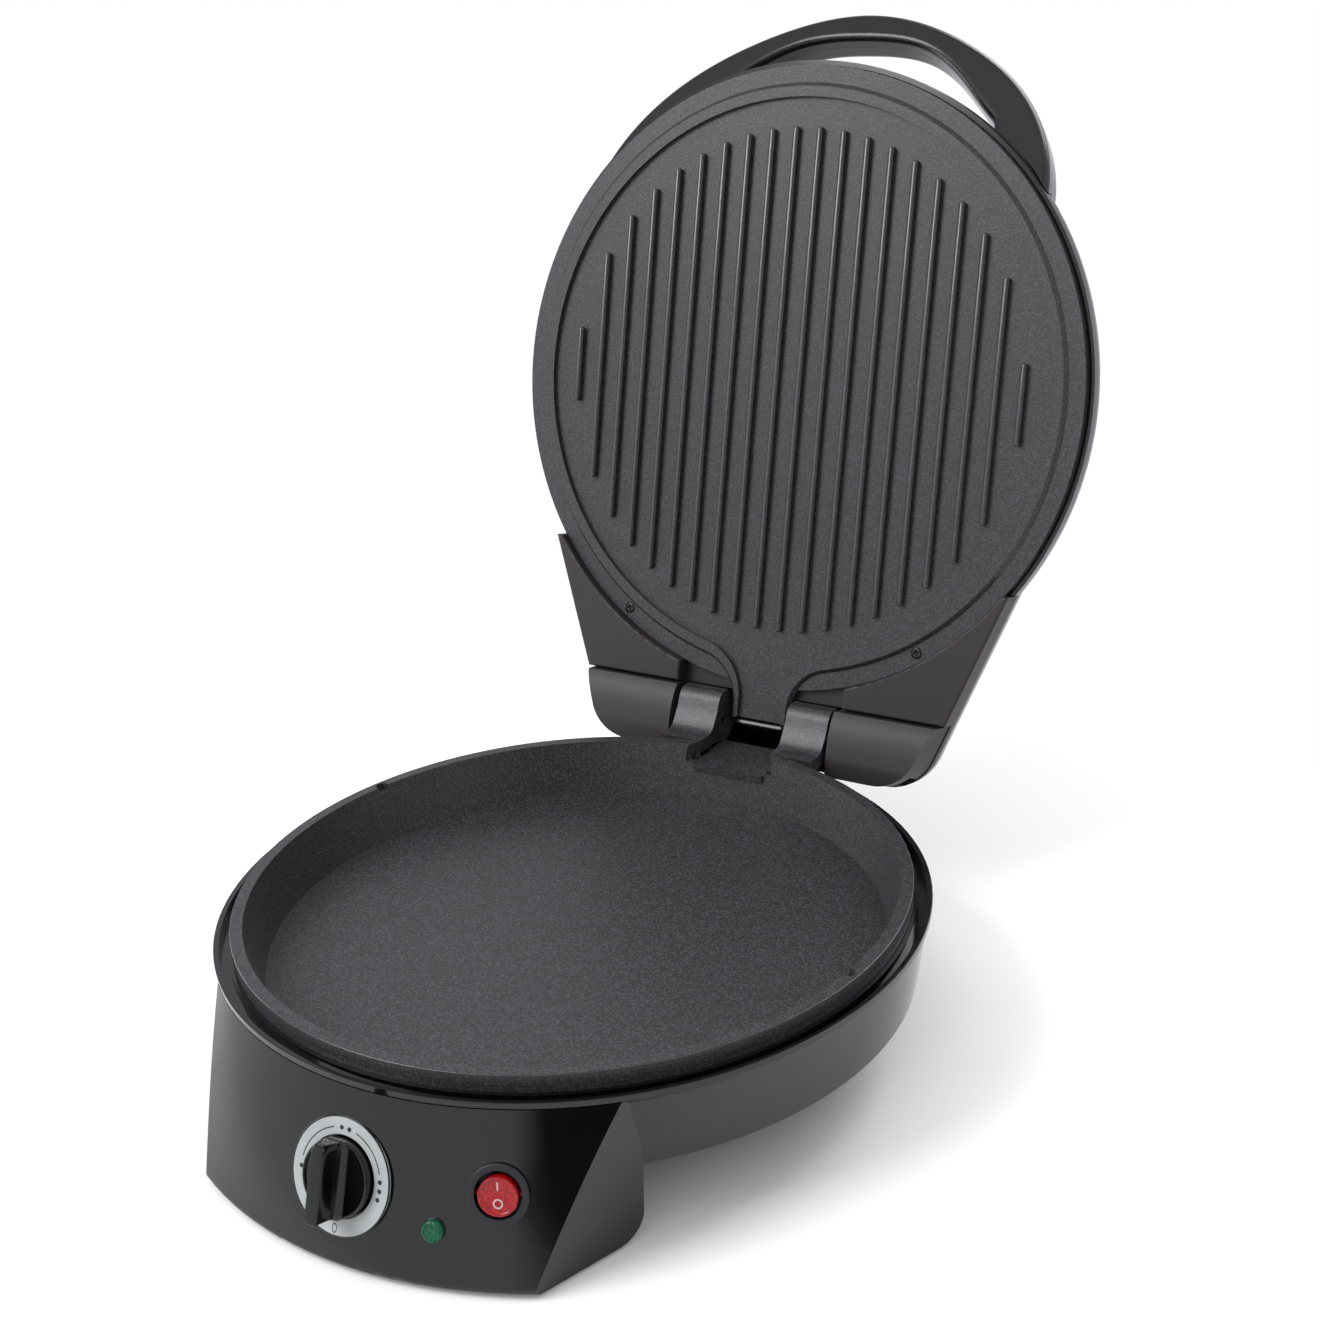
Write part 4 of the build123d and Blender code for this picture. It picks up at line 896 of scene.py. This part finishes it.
@dataclass
class Dial:
    """The printed ring and the knob, on the middle of the front face.

    Attributes:
        drop: the knob's centre below the rim, in metres; the other sizes are in mm.
        radius: the knob's disc.
        proud: how far the disc's back is off the face.
        disc: the disc's thickness.
        disc_rim: width of the rim round the disc's face.
        disc_sink: how deep the disc's face lies inside it.
        grip: the grip's steps: rise, width and length of each.
        grip_foot: height of the grip's first block.
        grip_root: how deep that block starts in the disc.
        grip_corner: radius of the grip's upright corners.
        recess_shade: radius and half width of the dark ring round the printed ring, painted shade
            where its recess is shadowed.
        ring_face: the ring's printed face above the front.
        mark_radius: the circle of the marks.
        dots: where the dots stand, in degrees from the top.
        dot_radius: a dot's radius.
        dot_thick: its thickness.
        dot_rise: its middle above the printed face.
        dot_edge: the rounding of its edge.
        arcs: the arcs' ends, in degrees from the top.
        arc_width: an arc's width.
        arc_thick: its thickness.
        zero_radius: where the 0 stands.
        zero_size: radius and half width of the 0's line.
        zero_shape: how far the 0 is stretched along x, y and z.
    """

    drop: float = 45.0 * MM
    radius: float = 16.2
    proud: float = 0.5
    disc: float = 4.0
    disc_rim: float = 1.1
    disc_sink: float = 0.9
    grip: tuple = (
        (1.3, 14.0, 32.4),
        (0.3, 13.0, 31.8),
        (0.6, 8.0, 31.8),
        (2.0, 6.8, 32.2),
        (4.0, 6.4, 32.6),
        (4.0, 6.6, 32.8),
        (0.6, 5.6, 32.0),
    )
    grip_foot: float = 1.0
    grip_root: float = 1.2
    grip_corner: float = 3.6
    recess_shade: tuple = (24.45, 0.4)
    ring_face: float = 0.3
    mark_radius: float = 20.0
    dots: tuple = (-92.0, -5.5, 5.5, 81.5, 92.0, 102.5)
    dot_radius: float = 0.95
    dot_thick: float = 0.12
    dot_rise: float = 0.05
    dot_edge: float = 0.05
    arcs: tuple = ((-80.0, -16.5), (16.0, 72.5))
    arc_width: float = 0.45
    arc_thick: float = 0.1
    zero_radius: float = 21.3
    zero_size: tuple = (1.25, 0.2)
    zero_shape: tuple = (0.85, 1.5, 0.4)

    def build(self) -> None:
        """Builds the ring, its marks and the knob."""
        face = FACE.plane(0, self.drop)
        skin("dial_ring", DIAL_PRINT, Body.BASE)
        # A dark ring round the printed ring: painted shade standing in for the shadow in its recess
        finish_piece(put(collar("dial_painted_shade", *self.recess_shade), face), KNOB_ABS, Body.BASE)
        finish_piece(put(self.marks(), face), INK, Body.BASE)
        knob = put(join([self.knob_disc(), self.knob_grip()], "knob_moulding"), face)
        finish_piece(knob, KNOB_ABS, Body.KNOB)
        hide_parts("knob")
        skin("thermostat_shaft", TURNED_STEEL, Body.KNOB)

    def knob_disc(self) -> Object:
        """The round disc, its face sunk inside a rim."""
        flat = cylinder("knob_disc", self.radius, self.proud, self.proud + self.disc)
        top_face(flat)
        bpy.ops.mesh.inset(thickness=self.disc_rim * MM, depth=0)
        step(-self.disc_sink * MM, SUNK_TAPER, SUNK_TAPER)
        soften(flat, width_mm=0.35, segments=3)
        return flat

    def knob_grip(self) -> Object:
        """The upright bar, wide at its foot and narrow at its top."""
        width, length = self.grip[0][1], self.grip[0][2]
        foot = self.grip_foot * MM
        middle = (self.proud + self.disc - self.grip_root) * MM + foot / 2
        bpy.ops.mesh.primitive_cube_add(size=1)
        bar = begin("knob_grip")
        bpy.ops.mesh.select_all(action="SELECT")
        bpy.ops.transform.resize(value=(width * MM, length * MM, foot), center_override=(0, 0, 0))
        bpy.ops.transform.translate(value=(0, 0, middle))
        pick(bar, lambda e: abs(e.verts[0].co.z - e.verts[1].co.z) > foot / 2, "EDGE")
        bpy.ops.mesh.bevel(offset=self.grip_corner * MM, segments=6)
        for rise, wide, tall in self.grip:
            top_face(bar)
            step(rise * MM, wide / width, tall / length)
            width, length = wide, tall
        soften(bar, width_mm=0.3, angle_deg=12)
        return bar

    def marks(self) -> Object:
        """The dots, the thin arcs and the 0, printed on the ring."""
        made = [self.dot(angle) for angle in self.dots]
        made += [self.arc(start, end) for start, end in self.arcs]
        zero_at = (0, -self.zero_radius, self.ring_face)
        made.append(ring_mark(self.zero_size, zero_at, self.zero_shape, segments=40))
        return join(made, "dial_marks")

    def dot(self, angle: float) -> Object:
        """One low round dot."""
        turn = math.radians(angle)
        x, y = self.mark_radius * math.sin(turn), self.mark_radius * math.cos(turn)
        bpy.ops.mesh.primitive_cylinder_add(
            vertices=24,
            radius=self.dot_radius * MM,
            depth=self.dot_thick * MM,
            location=(x * MM, y * MM, (self.ring_face + self.dot_rise) * MM),
        )
        dot = bpy.context.object
        bpy.ops.object.transform_apply()
        soften(dot, self.dot_edge)
        return dot

    def arc(self, start: float, end: float) -> Object:
        """One thin arc, spun from a small upright rectangle at the top of the ring.

        Args:
            start: its first end, in degrees from the top.
            end: its last end.

        Returns:
            The arc.
        """
        bpy.ops.mesh.primitive_plane_add(
            size=1,
            rotation=(0, math.pi / 2, 0),
            location=(0, self.mark_radius * MM, self.ring_face * MM),
        )
        bpy.context.object.scale = (self.arc_thick * MM, self.arc_width * MM, 1)
        bpy.ops.object.transform_apply()
        arc = begin("dial_arc")
        bpy.ops.mesh.select_all(action="SELECT")
        # A positive angle spins clockwise here, as seen from in front
        sweep = math.radians(end - start)
        bpy.ops.mesh.spin(steps=28, angle=sweep, center=(0, 0, 0), axis=(0, 0, 1))
        bpy.ops.mesh.select_all(action="SELECT")
        bpy.ops.mesh.remove_doubles(threshold=HAIR / 10)
        bpy.ops.mesh.normals_make_consistent(inside=False)
        return put(arc, Matrix.Rotation(-math.radians(start), 4, "Z"))


@dataclass
class Lamp:
    """The green pilot lamp: a lens with pressed rings, in a thin dark collar.

    Attributes:
        angle: its place round the front, in degrees.
        drop: its centre below the rim, in metres; the other sizes are in mm.
        radius: the lens's radius.
        proud: the lens's back above the face.
        thick: thickness of the lens's edge.
        collar_gap: from the lens's edge to the collar's middle line.
        collar_thick: half the collar's width.
        rings: the steps of the lens's top: rise, and scale of each.
    """

    angle: float = 14.1
    drop: float = 57.0 * MM
    radius: float = 4.6
    proud: float = 0.1
    thick: float = 0.4
    collar_gap: float = 0.15
    collar_thick: float = 0.4
    rings: tuple = (
        (1.5, 1.0),
        (0.7, 0.9),
        (0.3, 0.82),
        (-0.25, 0.97),
        (0.25, 0.72),
        (-0.2, 0.96),
        (0.15, 0.5),
    )

    def build(self) -> None:
        """Builds the lens, its collar and the hidden holder."""
        face = FACE.plane(self.angle, self.drop)
        lens = put(self.lens(), face)
        finish_piece(lens, GREEN_LENS, Body.BASE)
        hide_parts("lamp_lens")
        ring = collar("lamp_collar", self.radius + self.collar_gap, self.collar_thick)
        finish_piece(put(ring, face), KNOB_ABS, Body.BASE)
        skin("lamp_holder", POLYAMIDE, Body.BASE)

    def lens(self) -> Object:
        """The lens, its top drawn up in rings."""
        top = self.proud + self.thick
        lens = cylinder("lamp_lens_moulding", self.radius, self.proud, top, sides=64)
        for rise, scale in self.rings:
            top_face(lens)
            step(rise * MM, scale, scale)
        soften(lens, width_mm=0.12, angle_deg=20)
        return lens


@dataclass
class Switch:
    """The round rocker switch: a bezel, a red rocker and its two marks.

    Attributes:
        angle: its place round the front, in degrees.
        drop: its centre below the rim, in metres; the other sizes are in mm.
        pivot_drop: the rocker's pivot below the face.
        tilt: how far the rocker leans with its O side pressed.
        radius: the rocker's radius.
        top: the rocker's face above its pivot.
        bottom: its underside below the pivot.
        rim: width of its raised rim.
        sink: depth of the face inside the rim.
        pin_radius: radius of the pivot pins.
        pin_span: from one pin's end to the other's.
        mark_rise: the marks' middle above the rocker's face.
        line: width, length and thickness of the line for on.
        line_at: how far up the face from the pivot its middle lies.
        line_edge: the rounding of its edges.
        ring: radius and half width of the ring for off.
        ring_at: how far up the face from the pivot its middle lies.
        ring_shape: how far it is stretched along x, y and z.
    """

    angle: float = 22.6
    drop: float = 41.5 * MM
    pivot_drop: float = 2.5
    tilt: float = math.radians(7.0)
    radius: float = 8.2
    top: float = 4.7
    bottom: float = 1.0
    rim: float = 1.1
    sink: float = 0.35
    pin_radius: float = 1.2
    pin_span: float = 20.6
    mark_rise: float = 0.03
    line: tuple = (0.6, 3.4, 0.12)
    line_at: float = 4.3
    line_edge: float = 0.04
    ring: tuple = (1.75, 0.32)
    ring_at: float = -2.9
    ring_shape: tuple = (1, 1, 0.25)

    def build(self) -> None:
        """Builds the bezel, the rocker and the marks."""
        skin("switch_body", SWITCH_NYLON, Body.BASE)
        face = FACE.plane(self.angle, self.drop) @ Matrix.Translation((0, 0, -self.pivot_drop * MM))
        place = face @ Matrix.Rotation(self.tilt, 4, "X")
        rocker = put(self.rocker(), place)
        finish_piece(rocker, RED_ROCKER, Body.ROCKER)
        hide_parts("rocker")
        finish_piece(put(self.marks(), place), WHITE_INK, Body.ROCKER)

    def rocker(self) -> Object:
        """The rocker's disc with a raised rim, and its pivot pins."""
        button = cylinder("rocker_disc", self.radius, -self.bottom, self.top)
        top_face(button)
        bpy.ops.mesh.inset(thickness=self.rim * MM, depth=0)
        step(-self.sink * MM, SUNK_TAPER, SUNK_TAPER)
        soften(button, width_mm=0.4, segments=3)
        bpy.ops.mesh.primitive_cylinder_add(
            vertices=24,
            radius=self.pin_radius * MM,
            depth=self.pin_span * MM,
            rotation=(0, math.pi / 2, 0),
        )
        bpy.ops.object.transform_apply()
        pins = bpy.context.object
        soften(pins, width_mm=0.2)
        return join([button, pins], "rocker_moulding")

    def marks(self) -> Object:
        """The line for on and the ring for off."""
        height = self.top - self.sink + self.mark_rise
        bpy.ops.mesh.primitive_cube_add(size=1, location=(0, self.line_at * MM, height * MM))
        line = bpy.context.object
        line.scale = [part * MM for part in self.line]
        bpy.ops.object.transform_apply()
        soften(line, self.line_edge)
        ring_at = (0, self.ring_at, height)
        ring = ring_mark(self.ring, ring_at, self.ring_shape, segments=48)
        return join([line, ring], "rocker_marks")


@dataclass
class RibCrowns:
    """The rounded crowns of the grill ribs, one long bead on each rib, in a paler coating that
    paints a highlight along it.

    Attributes:
        count: how many ribs.
        pitch: from rib to rib, in mm.
        circle: radius of the circle that their ends lie on, in mm.
        radius: half a rib's width, in mm.
        flat: the crown's height over its half width.
        sink: the crown's middle below the ribs' tops, in mm.
    """

    count: int = 20
    pitch: float = 13.318
    circle: float = 128.06
    radius: float = 1.3
    flat: float = 0.7
    sink: float = 0.86

    def build(self) -> None:
        """Models one bead and copies it to each rib."""
        bead = self.bead()
        made = []
        for number in range(self.count):
            across = (number - (self.count - 1) / 2) * self.pitch
            half = math.sqrt(self.circle**2 - across**2)
            made.append(self.stretched(bead, across, half))
        bpy.data.objects.remove(bead)
        # The crowns' paler colour is a painted highlight along each rib
        finish_piece(put(join(made, "rib_crowns"), LID), PAINTED_HIGHLIGHT_COATING, Body.LID)

    def bead(self) -> Object:
        """A flattened ball whose poles point along the rib."""
        bpy.ops.mesh.primitive_uv_sphere_add(
            segments=20,
            ring_count=12,
            radius=self.radius * MM,
            rotation=(math.pi / 2, 0, 0),
        )
        bpy.ops.object.transform_apply()
        ball = begin("rib_bead")
        bpy.ops.mesh.select_all(action="SELECT")
        bpy.ops.transform.resize(value=(1, 1, self.flat), center_override=(0, 0, 0))
        bpy.ops.object.mode_set(mode="OBJECT")
        bpy.ops.object.shade_smooth()
        return ball

    def stretched(self, bead: Object, across: float, half: float) -> Object:
        """A copy of the bead drawn out to its rib's length, in its place on the plate.

        Args:
            bead: the ball.
            across: the rib's place, in mm.
            half: half its length, in mm.

        Returns:
            The copy.
        """
        copy = bead.copy()
        copy.data = bead.data.copy()
        bpy.context.collection.objects.link(copy)
        only(copy)
        bpy.ops.object.mode_set(mode="EDIT")
        for side in (-1, 1):
            pick(copy, lambda v: side * v.co.y > HAIR, "VERT")
            bpy.ops.transform.translate(value=(0, side * (half - self.radius) * MM, 0))
        return put(copy, Matrix.Translation((across * MM, 0, -self.sink * MM)))


@dataclass
class PlateScrews:
    """The two cross-head screws that hold the grill plate.

    Attributes:
        spots: where they stand on the plate: across and up, in mm.
        head: a head's radius, in mm.
        depth: the head's face below the tops of the ribs, in mm.
        thick: the head's thickness, in mm.
        dome: rise of the head's middle, in mm, and its scale.
        cross: length, width and height of a blade that cuts the cross, in mm.
        turn: how far the cross is turned, in radians.
    """

    spots: tuple = ((-84.5, -127.7), (84.5, -127.7))
    head: float = 2.7
    depth: float = 3.0
    thick: float = 1.6
    dome: tuple = (0.25, 0.82)
    cross: tuple = (3.4, 0.75, 1.5)
    turn: float = 0.3

    def build(self) -> None:
        """Builds both screws."""
        for number, (x, y) in enumerate(self.spots):
            screw = put(self.screw(number), LID @ Matrix.Translation((x * MM, y * MM, 0)))
            finish_piece(screw, BLACK_STEEL, Body.LID)
            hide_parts("plate_screws")

    def screw(self, number: int) -> Object:
        """One domed head with a cross cut into it.

        Args:
            number: ends the screw's name.

        Returns:
            The head.
        """
        low = -self.depth - self.thick
        head = cylinder(f"plate_screw_{number}", self.head, low, -self.depth, sides=48)
        rise, scale = self.dome
        top_face(head)
        step(rise * MM, scale, scale)
        bpy.ops.object.mode_set(mode="OBJECT")
        for turn in (self.turn, self.turn + math.pi / 2):
            bpy.ops.mesh.primitive_cube_add(size=1, location=(0, 0, -self.depth * MM))
            blade = bpy.context.object
            blade.scale = [part * MM for part in self.cross]
            blade.rotation_euler = (0, 0, turn)
            bpy.ops.object.transform_apply()
            only(head)
            cut = head.modifiers.new("cross", "BOOLEAN")
            cut.operation = "DIFFERENCE"
            cut.object = blade
            bpy.ops.object.modifier_apply(modifier="cross")
            bpy.data.objects.remove(blade)
        soften(head, width_mm=0.1)
        return head


@dataclass
class RimLines:
    """The rounded edges that draw pale lines round the base's lip and the pan's rim; the rim's ring
    is also coloured paler, a painted highlight.

    Attributes:
        lines: name, radius, drop below the rim, half width in mm, and finish.
        back: where each ring ends at the hinge side, from the pan's axis, in mm.
    """

    lines: tuple = (
        ("lip_edge", 163.6, 7.75, 0.35, GLOSS_ABS),
        # The rim's ring is coloured paler than the coating: a painted highlight line
        ("rim_edge", 155.35, 0.5, 0.4, PAINTED_HIGHLIGHT_COATING),
    )
    back: float = 148.0

    def build(self) -> None:
        """Builds each edge as a thin ring, open at the hinge."""
        for name, radius, drop, thick, finish in self.lines:
            ring = collar(name, radius, thick)
            only(ring)
            bpy.ops.object.mode_set(mode="EDIT")
            pick(ring, lambda face: face.calc_center_median().y > self.back * MM)
            bpy.ops.mesh.delete(type="FACE")
            bpy.ops.mesh.select_all(action="SELECT")
            bpy.ops.mesh.fill_holes(sides=0)
            place = PAN @ Matrix.Translation((0, 0, -drop * MM))
            finish_piece(put(ring, place), finish, Body.BASE)


@dataclass
class Base:
    """The cast pan, the base moulding and what is under them.

    Attributes:
        finishes: the CAD nodes that keep their shape, each with its finish.
    """

    finishes: tuple = (
        ("lower_pan", NONSTICK),
        ("base_housing", GLOSS_ABS),
        ("drum_cover", MATT_PP),
        ("housing_cover", MATT_PP),
        ("rear_stand", GLOSS_ABS),
        ("cord_bush", BUSH_RUBBER),
        ("front_feet", FOOT_RUBBER),
        ("rear_feet", FOOT_RUBBER),
        ("pan_screws", ZINC),
        ("terminal_block", POLYAMIDE),
        ("thermostat", PRESSED_STEEL),
        ("lower_heater", SHEATH),
        ("lower_reflector", SHEET),
    )

    def build(self) -> None:
        """Dresses the base's nodes and adds the rounded edges."""
        for node, finish in self.finishes:
            skin(node, finish, Body.BASE)
        RimLines().build()


@dataclass
class Lid:
    """The grill plate, the frame, the shell and the handle.

    Attributes:
        finishes: the CAD nodes that keep their shape, each with its finish.
    """

    finishes: tuple = (
        ("grill_plate", NONSTICK),
        ("lid_frame", SATIN_ABS),
        ("lid_shell", GLOSS_ABS),
        ("handle_cover", HANDLE_ABS),
        ("hinge_pins", TURNED_STEEL),
        ("upper_heater", SHEATH),
        ("upper_reflector", SHEET),
    )

    def build(self) -> None:
        """Dresses the lid's nodes and adds the screws and the ribs' crowns."""
        for node, finish in self.finishes:
            skin(node, finish, Body.LID)
        PlateScrews().build()
        RibCrowns().build()


def main() -> None:
    """Builds the looks, sub-assembly by sub-assembly."""
    logging.basicConfig(level=logging.INFO, format="%(message)s")
    for builder in (Studio(), Base(), Dial(), Lamp(), Switch(), Lid()):
        builder.build()


if __name__ == "__main__":
    main()
